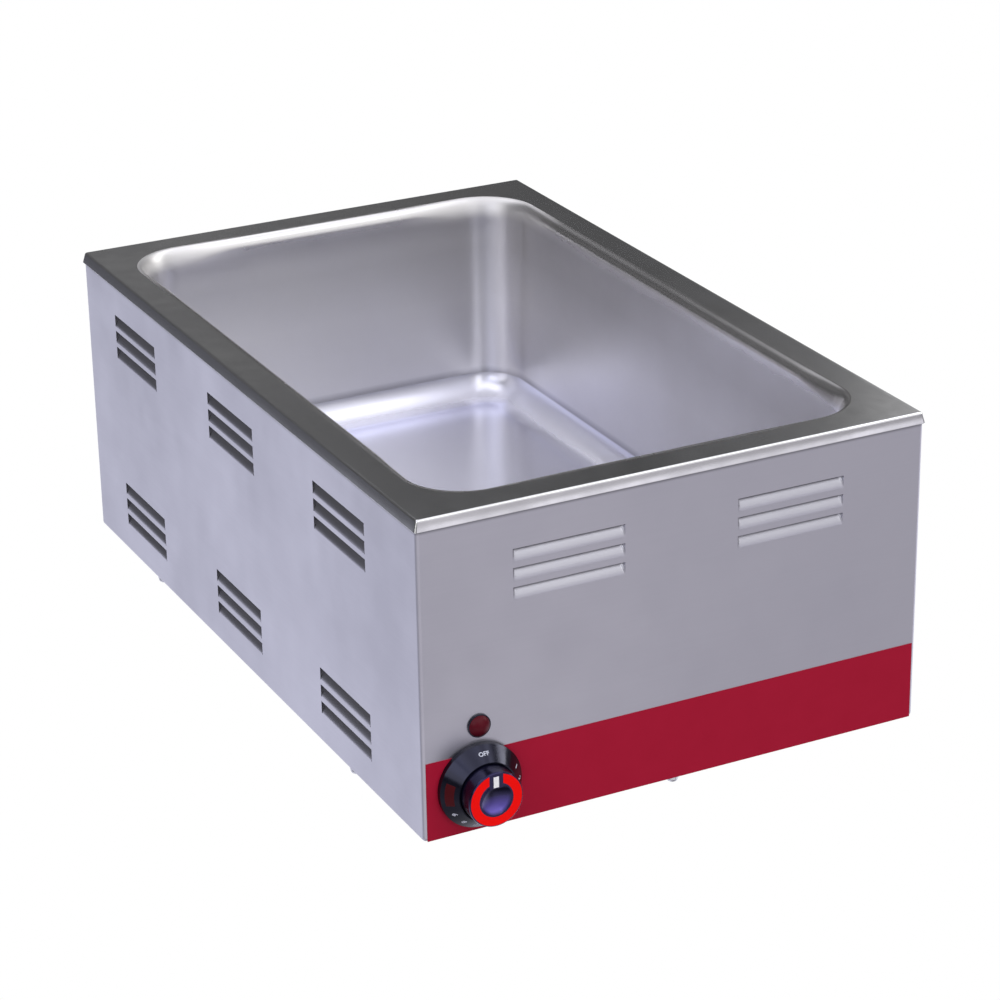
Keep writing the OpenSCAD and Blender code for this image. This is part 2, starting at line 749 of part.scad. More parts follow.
module knob_body() color(black) on_dial() {
  groove = knob_out - ring_t;
  difference() {
    union() {
      difference() {
        rotate_extrude() polygon([[0, knob_base], [knob_r, knob_base], [knob_r, knob_out - 2 * chamfer],
          [knob_r - chamfer / 2, knob_out - chamfer / 2], [knob_r - chamfer, knob_out], [0, knob_out]]);
        translate([0, 0, knob_out - dish_depth + dish_ball]) sphere(r = dish_ball);
      }
      intersection() {
        translate([-notch_w / 2, tab_in, knob_base + cavity_depth])
          cube([notch_w, ring_r - tab_in, knob_out - knob_base - cavity_depth]);
        cylinder(h = knob_out, r = ring_r);
      }
    }
    translate([0, 0, groove]) linear_extrude(ring_t + over) ring_outline(0);
    translate([0, 0, knob_out - pointer_t]) linear_extrude(pointer_t + over) pointer_outline(0);
    translate([0, 0, knob_base - over]) difference() {
      cylinder(h = cavity_depth + over, r = knob_r - knob_wall);
      cylinder(h = cavity_depth + over, r = hub_r);
    }
    translate([0, 0, knob_base - over]) linear_extrude(hub_depth - knob_wall + over) shaft_outline(slip);
  }
}

module knob_ring() color("red") on_dial()
  translate([0, 0, knob_out - ring_t]) linear_extrude(ring_t + ring_proud) ring_outline(slip);

module knob_pointer() color("white") on_dial()
  translate([0, 0, knob_out - pointer_t]) linear_extrude(pointer_t + ring_proud) pointer_outline(slip);

module at_lamp() {
  in_case() translate([lamp_x, front_y, lamp_z]) rotate([90, 0, 0]) children();
}

module lamp_housing() color(black) at_lamp() {
  cylinder(h = lamp_flange_t, r = lamp_r);
  translate([0, 0, -lamp_body_l]) cylinder(h = lamp_body_l, r = lamp_body_r);
}

module lamp_lens() color([0.3, 0.05, 0.1]) at_lamp() translate([0, 0, lamp_flange_t]) {
  ball = (lens_r * lens_r + lens_h * lens_h) / (2 * lens_h);
  intersection() {
    translate([0, 0, lens_h - ball]) sphere(r = ball);
    cylinder(h = lens_h + over, r = lens_r + over);
  }
}

module lamp_clip() color(zinc) at_lamp() translate([0, 0, -sheet_t - lamp_clip_t]) difference() {
  cylinder(h = lamp_clip_t, r = lamp_r + lamp_clip_lap);
  translate([0, 0, -over]) cylinder(h = lamp_clip_t + 2 * over, r = lamp_body_r + slip);
}

module at_gland() {
  in_case() translate([gland_x, back_y, gland_z]) rotate([-90, 0, 0]) children();
}

module cord_gland() color(black) at_gland() difference() {
  rotate_extrude() polygon([[0, -gland_in], [gland_r, -gland_in], [gland_r, 0], [gland_flange_r, 0],
    [gland_flange_r, gland_flange_t], [gland_r, gland_flange_t + gland_chamfer],
    [gland_r - gland_chamfer, gland_out], [0, gland_out]]);
  translate([0, 0, -gland_in - over]) cylinder(h = gland_in + gland_out + 2 * over, r = cord_bore_r);
}

module gland_nut() color(black) at_gland()
  translate([0, 0, -sheet_t - gland_nut_h]) nut(gland_nut_r, gland_r, gland_nut_h);

function way_x(i) = block_x + (i - (block_ways - 1) / 2) * way_pitch;

module at_block_screws(z) {
  for (s = [-1, 1]) translate([block_x + s * way_pitch / 2, block_y, z]) children();
}

module terminal_block() color("ivory") in_case() difference() {
  translate([block_x - block_l / 2, block_y - block_w / 2, stand_z]) cube([block_l, block_w, block_h]);
  for (i = [0:block_ways - 1]) translate([way_x(i), block_y, stand_z + block_h / 2])
    cylinder(h = block_h, r = way_r);
  at_block_screws(stand_z - over) cylinder(h = block_screw_in + 2 * over, r = screw_r + slip);
}

module block_screws() color(zinc) in_case() at_block_screws(cover_z) screw(sheet_t + block_screw_in);

module terminal_screws() color("gold") in_case() {
  for (i = [0:block_ways - 1]) translate([way_x(i), block_y, stand_z + block_h / 2])
    cylinder(h = block_h / 3, r = way_r - slip);
}

module ground_stud() color("gold") in_case() translate([earth_x, block_y, cover_z])
  screw(earth_l, earth_r, earth_nut_r, earth_head_h);

module ground_nut() color("gold") in_case() translate([earth_x, block_y, stand_z + ring_terminal_t])
  nut(earth_nut_r, earth_r, nut_h);

module limit_cutout() color("dimgray") in_case()
  translate([cutout_x_share * floor_half_w, cutout_y_share * floor_half_d, under_z - cutout_h]) {
    cylinder(h = cutout_h, r = cutout_r);
    translate([-tab_w / 2, -cutout_r - tab_l, lead_r]) cube([tab_w, 2 * (cutout_r + tab_l), tab_t]);
  }

// leads: each starts and ends square on a terminal, and runs low inside the case
cutout_x = cutout_x_share * floor_half_w;
cutout_y = cutout_y_share * floor_half_d;
cutout_lead_z = under_z - cutout_h + lead_r + tab_t / 2;
pin_x = run_shares[3] * floor_half_w;
pin_y = element_end_share * floor_half_d - pin_l;
tab_y = stat_back_y + tab_l;
block_front = block_y - block_w / 2;
lead_step = 11;
side_lane_share = 0.72;
side_lane = side_lane_share * case_w / 2;
outer_lane = side_lane + lead_step;
front_lane_in = 46;
front_lane = front_y + front_lane_in;
wire_z = stand_z + block_h / 2;

module lead(route) {
  tube(rounded(route, lead_step / 2), lead_r);
}

module lead_line() color("brown") in_case() {
  x = dial_x + line_tab_shares[0] * stat_w;
  z = dial_z + line_tab_shares[1] * stat_h;
  lead([[way_x(1), block_front, wire_z], [way_x(1), block_front - lead_step, wire_z],
    [side_lane, block_front - 3 * lead_step, lead_z], [side_lane, 0, lead_z],
    [side_lane, front_lane + 8 * lead_step, lead_z], [way_x(1), front_lane + lead_step, lead_z],
    [x + 2 * lead_step, front_lane, lead_z], [x, front_lane, lead_z + lead_step / 2],
    [x, tab_y + lead_step / 2, z], [x, tab_y, z]]);
}

module lead_neutral() color("royalblue") in_case() {
  lead([[way_x(2), block_front, wire_z], [way_x(2), block_front - lead_step, wire_z],
    [outer_lane, block_front - 3 * lead_step, lead_z], [outer_lane, 0, lead_z],
    [outer_lane, pin_y + 8 * lead_step, lead_z + lead_step],
    [pin_x + 2 * lead_step, pin_y, lead_z + 2 * lead_step],
    [pin_x + lead_step, front_lane, element_z - lead_step], [pin_x, pin_y - 2 * lead_step, element_z],
    [pin_x, pin_y, element_z]]);
}

module lead_switched() color("black") in_case() {
  x = dial_x + switched_tab_shares[0] * stat_w;
  z = dial_z + switched_tab_shares[1] * stat_h;
  lead([[x, tab_y, z], [x, tab_y + lead_step, z], [x + 3 * lead_step, front_lane, z - lead_step / 2],
    [0, front_lane, z - lead_step], [cutout_x - lead_step, pin_y, z - lead_step / 2],
    [cutout_x, reflector_front_share * floor_half_d - lead_step, between_z],
    [cutout_x, cutout_y - cutout_r - tab_l - lead_step, between_z],
    [cutout_x, cutout_y - cutout_r - tab_l - lead_step / 2, cutout_lead_z],
    [cutout_x, cutout_y - cutout_r - tab_l, cutout_lead_z]]);
}

module lead_limit() color("black") in_case() {
  y = cutout_y + cutout_r + tab_l;
  lead([[cutout_x, y, cutout_lead_z], [cutout_x, y + lead_step / 2, cutout_lead_z],
    [cutout_x - lead_step, y + 2 * lead_step, between_z], [-cutout_x, y + 2 * lead_step, between_z],
    [-cutout_x, pin_y + 3 * lead_step, between_z], [-pin_x + lead_step, pin_y - lead_step, between_z],
    [-pin_x + lead_step / 3, pin_y - 3 * lead_step, element_z], [-pin_x, pin_y - 2 * lead_step, element_z],
    [-pin_x, pin_y, element_z]]);
}

// the lamp's two leads drop in front of the well to the back of the thermostat
module lead_lamp() color("crimson") in_case()
  for (s = [-1, 1]) {
    x0 = lamp_x + s * lamp_pin_gap / 2;
    x1 = dial_x + s * lamp_tab_shares[0] * stat_w;
    y0 = front_y + lamp_body_l;
    y1 = stat_back_y + lead_step / 2;
    z1 = dial_z + lamp_tab_shares[1] * stat_h;
    tube(rounded([[x0, y0, lamp_z], [x0, y0 + 2 * lead_r, lamp_z], [x0, y0 + 3 * lead_r, lamp_z - lead_step],
      [x1, y1, z1 + lead_step], [x1, y1, z1], [x1, stat_back_y, z1]], lead_step / 4), lead_r / 1.5);
  }

module lead_earth() color("yellowgreen") in_case() {
  x = way_x(0);
  z = stand_z + ring_terminal_t + lead_r;
  y = block_y - ring_terminal_r;
  lead([[x, block_front, wire_z], [x, block_front - lead_step / 2, wire_z],
    [x - lead_step / 2, block_front - lead_step, z + lead_r], [earth_x, block_front - lead_step, z],
    [earth_x, y - lead_r, z]]);
  translate([earth_x, block_y, stand_z]) difference() {
    union() {
      cylinder(h = ring_terminal_t, r = ring_terminal_r);
      translate([-lead_r, -2 * ring_terminal_r, 0]) {
        cube([2 * lead_r, ring_terminal_r + lead_r, ring_terminal_t]);
        cube([2 * lead_r, ring_terminal_r - lead_r, 2 * lead_r]);
      }
    }
    translate([0, 0, -over]) cylinder(h = ring_terminal_t + 2 * over, r = earth_r + fit);
  }
}

body_wrap();
back_panel();
bottom_cover();
well_pan();
front_decal();
foot_front_left();
foot_front_right();
foot_rear_left();
foot_rear_right();
foot_screws();
foot_nuts();
bottom_screws();
bottom_washers();
back_screws();
insulation_blanket();
heating_element();
element_clamps();
pan_studs();
clamp_nuts();
reflector_plate();
reflector_spacers();
reflector_nuts();
sensing_bulb();
bulb_clip();
capillary_tube();
thermostat_body();
thermostat_shaft();
thermostat_screws();
dial_bezel();
knob_body();
knob_ring();
knob_pointer();
lamp_housing();
lamp_lens();
lamp_clip();
cord_gland();
gland_nut();
terminal_block();
terminal_screws();
block_screws();
ground_stud();
ground_nut();
limit_cutout();
lead_line();
lead_switched();
lead_limit();
lead_neutral();
lead_lamp();
lead_earth();
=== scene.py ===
"""Looks of a countertop food warmer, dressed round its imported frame.
Shapes are in millimetres and degrees until a mesh is made. Finishes and the studio are in metres."""
import json
import math

import bmesh
import bpy
from mathutils import Matrix, Vector


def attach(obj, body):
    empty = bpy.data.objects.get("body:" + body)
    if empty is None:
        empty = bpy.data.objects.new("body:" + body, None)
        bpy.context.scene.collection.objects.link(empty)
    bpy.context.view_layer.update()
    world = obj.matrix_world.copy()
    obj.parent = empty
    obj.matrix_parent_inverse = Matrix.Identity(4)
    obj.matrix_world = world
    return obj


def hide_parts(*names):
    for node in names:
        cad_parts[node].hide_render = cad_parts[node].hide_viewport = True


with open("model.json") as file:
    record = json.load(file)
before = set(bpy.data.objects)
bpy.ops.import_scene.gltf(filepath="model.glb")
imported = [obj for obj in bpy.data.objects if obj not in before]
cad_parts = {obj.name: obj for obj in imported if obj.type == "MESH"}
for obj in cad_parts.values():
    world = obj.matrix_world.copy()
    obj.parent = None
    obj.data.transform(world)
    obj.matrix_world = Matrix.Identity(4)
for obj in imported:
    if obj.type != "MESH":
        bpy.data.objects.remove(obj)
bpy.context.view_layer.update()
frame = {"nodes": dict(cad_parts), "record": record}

MM = 0.001
QUARTER = math.pi / 2
SAME_POINT, SAME_LEVEL = 4, 3  # decimals of a millimetre to which corners, or rows, agree when they are one
TOLERANCE = 0.001

# ---- sizes of the real object, as the frame has them ----
CASE_W, CASE_D = 366.0, 574.0
CASE_Y = 9.15  # from the frame's origin back to the case's middle
FRONT_Y, BACK_Y = -CASE_D / 2, CASE_D / 2
TOP_Z, STAND_Z, FLOOR_Z = 229.5, 9.0, 68.0
SHEET = 1.0

# The lip turned down round the rim. Its leans are those at its foot and at its shoulder, and the inside of
# its bend has rings so far below the top.
EDGE_R, LIP_H = 1.7, 8.0
END_LEANS, SIDE_LEANS, LEAN_STEPS, FLANK_STEPS = (13.0, 5.0), (13.0, 17.0), 12, 5
TOP_CORNER, FOOT_CORNER, LEAST_CORNER = 1.0, 1.7, 0.4
RIM_X, RIM_Y = CASE_W / 2 + SHEET - EDGE_R, CASE_D / 2 + SHEET - EDGE_R
RIM_INSET, INSIDE_LIP = 2.0, (0.0, 1.0, 1.6)

# The mouth, measured to the centres of its corners, and the well below it. The margin is the flat ring round
# the mouth's bend. The flare is the taller bend at its corners, which fades out along the sides.
MOUTH_X, MOUTH_Y, MOUTH_R, MOUTH_MARGIN = 119.0, 222.0, 35.0, 1.0
BEND_R, BEND_H, FLARE_H, FLARE_REACH = 7.0, 8.0, 16.0, 48.0
WALL_DRAFT, WALL_STEPS = 3.0, 8
SWEEP_R, CREASE, FLOOR_INSET = 24.0, 12.0, 1.0
SWEEP_START = MOUTH_R - WALL_DRAFT - SWEEP_R * math.cos(math.radians(CREASE))
SWEEP_TOP = FLOOR_Z + SWEEP_R - SWEEP_R * math.sin(math.radians(CREASE))
CORNER_STEPS = 20
SIDE_POINTS = (3.0, 7.0, 12.0, 18.0, 25.0, 33.0, 42.0, 52.0, 63.0, 75.0, 90.0, 105.0)

# The folded case, its flanges at the back and underneath, and how far it reaches up inside the lip.
CORNER_R, FLANGE, FOLD_STEPS = 2.5, 14.0, 10
BOTTOM_FOLD_R, BACK_CLEARANCE, CASE_IN_LIP = 2.0, 3.0, 2.6

# The louvres in groups of three. Their ramps lean more and more towards their tops.
LOUVRES, LOUVRE_L, LOUVRE_H = 3, 79.0, 9.0
LOUVRE_ENDS = {"side": 0.9, "front": 2.4}
END_SHARES = (0.0, 0.03, 0.11, 0.25, 0.45, 0.7, 1.0)
MIDDLE_STEPS, SAME_LOUVRE = 6, LOUVRE_L / 5  # points of one louvre lie closer than the latter
RAMP_LEAN, RAMP_POWER, RAMP_STEPS = 40.0, 0.45, 24
RAMP_ROWS = (0.0, 1.0, 1.9, 2.8, 3.7, 4.6, 5.5, 6.4, 7.3, 8.2, LOUVRE_H)
SIDE_COLUMNS, SIDE_ROWS, SIDE_PITCH = (-171.5, 7.5, 186.5), (199.2, 65.0), 12.5
FRONT_COLUMNS, FRONT_ROWS, FRONT_PITCH = (-77.9, 83.1), (197.0,), 13.0

# The dial's cone, from the radius and height of its edge to those of its top, and the printing on it.
DIAL_X, DIAL_Z = -144.0, 41.5
DIAL_EDGE_R, DIAL_EDGE, DIAL_TOP_R, DIAL_OUT = 28.8, 3.8, 20.3, 13.5
PRINT_R, OFF_SIZE, NUMBER_SIZE = 24.6, 4.1, 5.4
NUMBERS, FIRST_NUMBER, NUMBER_TURN = 9, 66.0, 21.5
LETTER_DEPTH, LETTER_LIFT, LETTER_WEIGHT = 0.06, 0.03, 0.02
WARM_START, WARM_TURN, WARM_STEPS = 255.0, 35.0, 14
WARM_R, WARM_LIFTS = (22.6, 26.8), (0.01, 0.08)


# ---- meshes ----
def place(point):
    """Turns a point, in millimetres from the case's middle, into metres from the frame's origin ahead of it."""
    return (point[0] * MM, (point[1] + CASE_Y) * MM, point[2] * MM)


def add_object(name, data):
    made = bpy.data.objects.new(name, data)
    bpy.context.scene.collection.objects.link(made)
    return made


def final_mesh(piece):
    """A new mesh of the piece as its modifiers or its letters make it."""
    bpy.context.view_layer.update()
    return bpy.data.meshes.new_from_object(piece.evaluated_get(bpy.context.evaluated_depsgraph_get()))


class Shape:
    """Collects corners and faces. Corners that coincide become one, and faces that shrink to a line are
    left out. The skin of a face is the number of its finish."""

    def __init__(self):
        self.points, self.known, self.faces, self.skins = [], {}, [], []

    def corner(self, point):
        key = tuple(round(c, SAME_POINT) for c in point)
        if key not in self.known:
            self.known[key] = len(self.points)
            self.points.append(point)
        return self.known[key]

    def face(self, points, skin=0):
        corners = []
        for p in points:
            c = self.corner(p)
            if c not in corners:
                corners.append(c)
        if len(corners) > 2:
            self.faces.append(corners)
            self.skins.append(skin)

    def band(self, ring, following, skin=0):
        for j in range(len(ring)):
            k = (j + 1) % len(ring)
            self.face((ring[j], ring[k], following[k], following[j]), skin)

    def finish(self, name, finishes, record_slot, body="cabinet", crease=35.0, stands_for=()):
        """Makes the piece. Edges that turn by more than the crease stay sharp."""
        mesh = bpy.data.meshes.new(name)
        mesh.from_pydata([place(p) for p in self.points], [], self.faces)
        for polygon, skin in zip(mesh.polygons, self.skins):
            polygon.material_index = skin
            polygon.use_smooth = True
        work = bmesh.new()
        work.from_mesh(mesh)
        bmesh.ops.recalc_face_normals(work, faces=work.faces)
        work.to_mesh(mesh)
        work.free()
        for finish in finishes:
            mesh.materials.append(finish)
        piece = add_object(name, mesh)
        mesh.set_sharp_from_angle(angle=math.radians(crease))
        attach(piece, body)
        if stands_for:
            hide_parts(*stands_for)
        return piece


def settle(piece, crease):
    """Makes a piece's modifiers final and marks its creases again."""
    done = final_mesh(piece)
    piece.modifiers.clear()
    piece.data = done
    done.set_sharp_from_angle(angle=math.radians(crease))


def keep_flats(piece):
    """Lets the large flat faces keep their own direction where they meet small curved ones."""
    flats = piece.modifiers.new("flats", "WEIGHTED_NORMAL")
    flats.mode, flats.weight, flats.keep_sharp = "FACE_AREA", 80, True


def arc(centre, radius, start, end, steps):
    """Points from angle start to end about a centre in a section."""
    turns = [math.radians(start + (end - start) * i / steps) for i in range(steps + 1)]
    return [(centre[0] + radius * math.cos(t), centre[1] + radius * math.sin(t)) for t in turns]


def rounded_ring(half_x, half_y, radius, z):
    """One closed ring round a rectangle whose corner centres lie at half_x and half_y. Every ring has its
    points at the same shares of its sides, those of SIDE_POINTS along the mouth's sides."""
    ring = []
    signs = ((1, 1), (-1, 1), (-1, -1), (1, -1))
    for quarter, (sx, sy) in enumerate(signs):
        for i in range(CORNER_STEPS + 1):
            turn = QUARTER * (quarter + i / CORNER_STEPS)
            ring.append((sx * half_x + radius * math.cos(turn), sy * half_y + radius * math.sin(turn), z))
        nx, ny = signs[(quarter + 1) % 4]
        start = ring[-1]
        turn = QUARTER * (quarter + 1)
        end = (nx * half_x + radius * math.cos(turn), ny * half_y + radius * math.sin(turn), z)
        side = 2 * (MOUTH_X if quarter % 2 == 0 else MOUTH_Y)
        for s in [d / side for d in SIDE_POINTS] + [1 - d / side for d in reversed(SIDE_POINTS)]:
            ring.append((start[0] + (end[0] - start[0]) * s, start[1] + (end[1] - start[1]) * s, z))
    return ring


# ---- finishes: how their nodes are joined ----
def solid(colour):
    """The colour with no transparency."""
    return colour + (1.0,)


class Wiring:
    """Adds nodes to a tree and joins them."""

    def __init__(self, tree):
        self.tree = tree

    def node(self, kind, inputs=(), **settings):
        made = self.tree.nodes.new(kind)
        for key, value in settings.items():
            setattr(made, key, value)
        for key, value in dict(inputs).items():
            self.feed(value, made.inputs[key])
        return made

    def feed(self, value, socket):
        if isinstance(value, bpy.types.NodeSocket):
            self.tree.links.new(value, socket)
        else:
            socket.default_value = value

    def math(self, operation, *values):
        return self.node("ShaderNodeMath", enumerate(values), operation=operation).outputs[0]

    def plus(self, one, other):
        return self.math("ADD", one, other)

    def minus(self, one, other):
        return self.math("SUBTRACT", one, other)

    def times(self, one, other):
        return self.math("MULTIPLY", one, other)

    def weigh(self, one, share, other):
        """The first value by its share, and the other by the rest."""
        return self.plus(self.times(one, share), self.times(other, 1.0 - share))

    def by_parts(self, one, other):
        """The product of two colours or vectors, part by part."""
        return self.node("ShaderNodeVectorMath", {0: one, 1: other}, operation="MULTIPLY").outputs[0]

    def scaled(self, colour, strength):
        return self.node("ShaderNodeVectorMath", {0: colour, "Scale": strength}, operation="SCALE").outputs[0]

    def parts(self, vector):
        return self.node("ShaderNodeSeparateXYZ", {"Vector": vector}).outputs

    def spread(self, value, low, high, to_low, to_high):
        made = self.node("ShaderNodeMapRange", {"Value": value, "From Min": low, "From Max": high,
                                                "To Min": to_low, "To Max": to_high})
        return made.outputs["Result"]

    def blend(self, share, one, other):
        """A mix of two colours, by the numbers that the Mix node gives its colour sockets."""
        return self.node("ShaderNodeMix", {0: share, 6: one, 7: other}, data_type="RGBA").outputs[2]

    def blend_shaders(self, share, one, other):
        return self.node("ShaderNodeMixShader", {0: share, 1: one.outputs[0], 2: other.outputs[0]}).outputs[0]

    def ramp(self, value, stops):
        made = self.node("ShaderNodeValToRGB", {"Fac": value})
        elements = made.color_ramp.elements
        while len(elements) < len(stops):
            elements.new(0.5)
        for element, (position, colour) in zip(elements, stops):
            element.position, element.color = position, solid(colour)
        return made.outputs["Color"]

    def by_height(self, height, stops):
        low, high = stops[0][0], stops[-1][0]
        shares = [((z - low) / (high - low), colour) for z, colour in stops]
        return self.ramp(self.spread(height, low, high, 0.0, 1.0), shares)

    def noise(self, vector, scale, detail, roughness=0.5):
        made = self.node("ShaderNodeTexNoise", {"Vector": vector, "Scale": scale, "Detail": detail,
                                                "Roughness": roughness})
        return made.outputs["Fac"]


def fresh_wiring(owner):
    """Empties the node tree of a material or a world."""
    owner.use_nodes = True
    owner.node_tree.nodes.clear()
    return Wiring(owner.node_tree)


# ---- finishes: effects that several materials share ----
def effect_group(name, inputs, outputs):
    group = bpy.data.node_groups.new(name, "ShaderNodeTree")
    for label, kind, value in inputs:
        socket = group.interface.new_socket(label, in_out="INPUT", socket_type=kind)
        if value is not None:
            socket.default_value = value
    for label, kind in outputs:
        group.interface.new_socket(label, in_out="OUTPUT", socket_type=kind)
    source, result = group.nodes.new("NodeGroupInput"), group.nodes.new("NodeGroupOutput")
    return group, Wiring(group), source.outputs, result.inputs


def make_brushed_grain():
    """Fine polishing lines: Stretch holds how often the surface varies along each axis, per metre."""
    group, w, source, result = effect_group(
        "brushed_grain",
        (("Place", "NodeSocketVector", None), ("Stretch", "NodeSocketVector", (8.0, 8.0, 900.0)),
         ("Contrast", "NodeSocketFloat", 0.5)),
        (("Lines", "NodeSocketFloat"), ("Height", "NodeSocketFloat")))
    stretched = w.by_parts(source["Place"], source["Stretch"])
    coarse = w.noise(stretched, 1.0, detail=5.0, roughness=0.65)
    fine = w.noise(stretched, 3.7, detail=3.0, roughness=0.6)
    both = w.weigh(coarse, 0.65, fine)
    w.feed(w.plus(w.times(w.minus(both, 0.5), source["Contrast"]), 0.5), result["Lines"])
    w.feed(both, result["Height"])
    return group


def make_handling_marks():
    """Soft clouds left by wiping and by hands, from 0 where the sheet is clean to 1 where it is dull."""
    group, w, source, result = effect_group(
        "handling_marks",
        (("Place", "NodeSocketVector", None), ("Clouds", "NodeSocketFloat", 9.0)),
        (("Mask", "NodeSocketFloat"), ("Swell", "NodeSocketFloat")))
    clouds = w.noise(source["Place"], source["Clouds"], detail=3.0, roughness=0.55)
    smears = w.noise(source["Place"], w.times(source["Clouds"], 5.0), detail=2.0)
    w.feed(w.spread(w.weigh(clouds, 0.75, smears), 0.35, 0.68, 0.0, 1.0), result["Mask"])
    w.feed(clouds, result["Swell"])
    return group


def make_moulded_skin():
    """The slight orange peel and mottling of a moulding."""
    group, w, source, result = effect_group(
        "moulded_skin",
        (("Place", "NodeSocketVector", None), ("Grain", "NodeSocketFloat", 900.0)),
        (("Height", "NodeSocketFloat"), ("Mottle", "NodeSocketFloat")))
    w.feed(w.noise(source["Place"], source["Grain"], detail=2.0), result["Height"])
    w.feed(w.noise(source["Place"], w.times(source["Grain"], 0.12), detail=3.0), result["Mottle"])
    return group


BRUSHED, MARKS, MOULDED = make_brushed_grain(), make_handling_marks(), make_moulded_skin()


# ---- finishes: kinds of material ----
GRAIN_SHARE, GRAIN_ROUGHNESS = 0.6, 0.12  # of the polishing lines in a steel's colour and in its roughness
HAZE_REACH, HAZE_HEIGHTS = 0.055, (0.2120, 0.2205)
# The dish's painted highlight covers this share of its radius in full colour and fades out over these heights
# about the dial's axis. The last band gives the heights over which the lowered gloss comes back.
DISH_CORE, DISH_HIGHLIGHT_FADE, LOW_GLOSS_BAND = 0.80, (-0.0085, 0.0015), (-0.016, 0.006)


def start_finish(name):
    material = bpy.data.materials.new(name)
    w = fresh_wiring(material)
    shader = w.node("ShaderNodeBsdfPrincipled")
    w.node("ShaderNodeOutputMaterial", {"Surface": shader.outputs[0]})
    where = w.node("ShaderNodeTexCoord").outputs["Object"]
    return material, w, shader, where


def use_group(w, group, **inputs):
    return w.node("ShaderNodeGroup", inputs, node_tree=group).outputs


def raise_surface(w, shader, height):
    """Bumps the surface by a height in metres."""
    bump = w.node("ShaderNodeBump", {"Height": height, "Strength": 1.0, "Distance": 1.0})
    w.feed(bump.outputs[0], shader.inputs["Normal"])


def brushed_steel(name, light, dark, stretch, roughness, clouds=7.0, swell=3e-4, lines=4e-6, contrast=0.6,
                  painted_light=(), polishes=(), drawn=0.0, corner_haze=0.0):
    """Sheet steel with polishing lines along the low values of stretch, cloudy wear and a slight swell. Light
    and shade are painted into the colour by height: each height comes with the share of each colour that is left
    there. Polishes are heights with the share of the roughness. The share drawn smears the reflections up and
    down, and corner_haze dulls the mouth's back corners."""
    material, w, shader, where = start_finish(name)
    grain = use_group(w, BRUSHED, Place=where, Stretch=stretch, Contrast=contrast)
    marks = use_group(w, MARKS, Place=where, Clouds=clouds)
    colour = w.blend(w.weigh(grain["Lines"], GRAIN_SHARE, marks["Mask"]), solid(light), solid(dark))
    x, y, height = w.parts(where)
    # Painted light and shade: the colour is scaled by height.
    if painted_light:
        colour = w.by_parts(colour, w.by_height(height, painted_light))
    w.feed(colour, shader.inputs["Base Color"])
    dull = w.spread(marks["Mask"], 0.0, 1.0, *roughness)
    if polishes:
        dull = w.times(dull, w.by_height(height, [(z, (share,) * 3) for z, share in polishes]))
    if corner_haze:
        across = w.minus(MOUTH_X * MM, w.math("ABSOLUTE", x))
        ahead = w.minus((MOUTH_Y + CASE_Y) * MM, y)
        near = w.spread(w.math("MAXIMUM", across, ahead), 0.0, HAZE_REACH, corner_haze, 0.0)
        haze = w.times(near, w.spread(height, *HAZE_HEIGHTS, 0.0, 1.0))
        dull = w.times(dull, w.plus(1.0, haze))
    dull = w.plus(dull, w.times(w.minus(grain["Lines"], 0.5), GRAIN_ROUGHNESS))
    w.feed(dull, shader.inputs["Roughness"])
    if drawn:
        shader.inputs["Anisotropic"].default_value = drawn
        shader.inputs["Anisotropic Rotation"].default_value = 0.25
        tangent = w.node("ShaderNodeTangent", direction_type="RADIAL", axis="Z")
        w.feed(tangent.outputs[0], shader.inputs["Tangent"])
    shader.inputs["Metallic"].default_value = 1.0
    raise_surface(w, shader, w.plus(w.times(marks["Swell"], swell), w.times(grain["Height"], lines)))
    return material


def moulding(name, light, dark, roughness, grain=900.0, peel=2e-5, gloss=0.5, tint=(1.0, 1.0, 1.0), dish_highlight=None,
             low_gloss=None):
    """Moulded plastic or rubber with orange peel and faint mottling. Within the given radius about the dial's
    axis, the dish's lower half is painted in the given colour: a painted highlight. Well below the axis only the
    share low_gloss of the gloss is left."""
    material, w, shader, where = start_finish(name)
    skin = use_group(w, MOULDED, Place=where, Grain=grain)
    colour = w.blend(skin["Mottle"], solid(light), solid(dark))
    x, _, z = w.parts(where)
    above = w.minus(z, DIAL_Z * MM)
    # Painted highlight: the lower half of the dish takes a purple-blue colour.
    if dish_highlight:
        radius, highlight_colour = dish_highlight
        across = w.minus(x, DIAL_X * MM)
        away = w.math("SQRT", w.plus(w.times(across, across), w.times(above, above)))
        inside = w.spread(away, radius * DISH_CORE, radius, 1.0, 0.0)
        painted_highlight = w.times(inside, w.spread(above, *DISH_HIGHLIGHT_FADE, 1.0, 0.0))
        colour = w.blend(painted_highlight, colour, solid(highlight_colour))
    w.feed(colour, shader.inputs["Base Color"])
    w.feed(w.spread(skin["Mottle"], 0.3, 0.7, *roughness), shader.inputs["Roughness"])
    shader.inputs["Specular IOR Level"].default_value = gloss
    if low_gloss is not None:
        fading = w.spread(above, *LOW_GLOSS_BAND, gloss * low_gloss, gloss)
        w.feed(fading, shader.inputs["Specular IOR Level"])
    shader.inputs["Specular Tint"].default_value = solid(tint)
    raise_surface(w, shader, w.times(skin["Height"], peel))
    return material


def small_metal(name, light, dark, roughness):
    """Turned, plated or drawn small metal pieces."""
    material, w, shader, where = start_finish(name)
    skin = use_group(w, MOULDED, Place=where, Grain=1500.0)
    w.feed(w.blend(skin["Mottle"], solid(light), solid(dark)), shader.inputs["Base Color"])
    w.feed(w.spread(skin["Mottle"], 0.3, 0.7, *roughness), shader.inputs["Roughness"])
    shader.inputs["Metallic"].default_value = 1.0
    raise_surface(w, shader, w.times(skin["Height"], 1.5e-5))
    return material


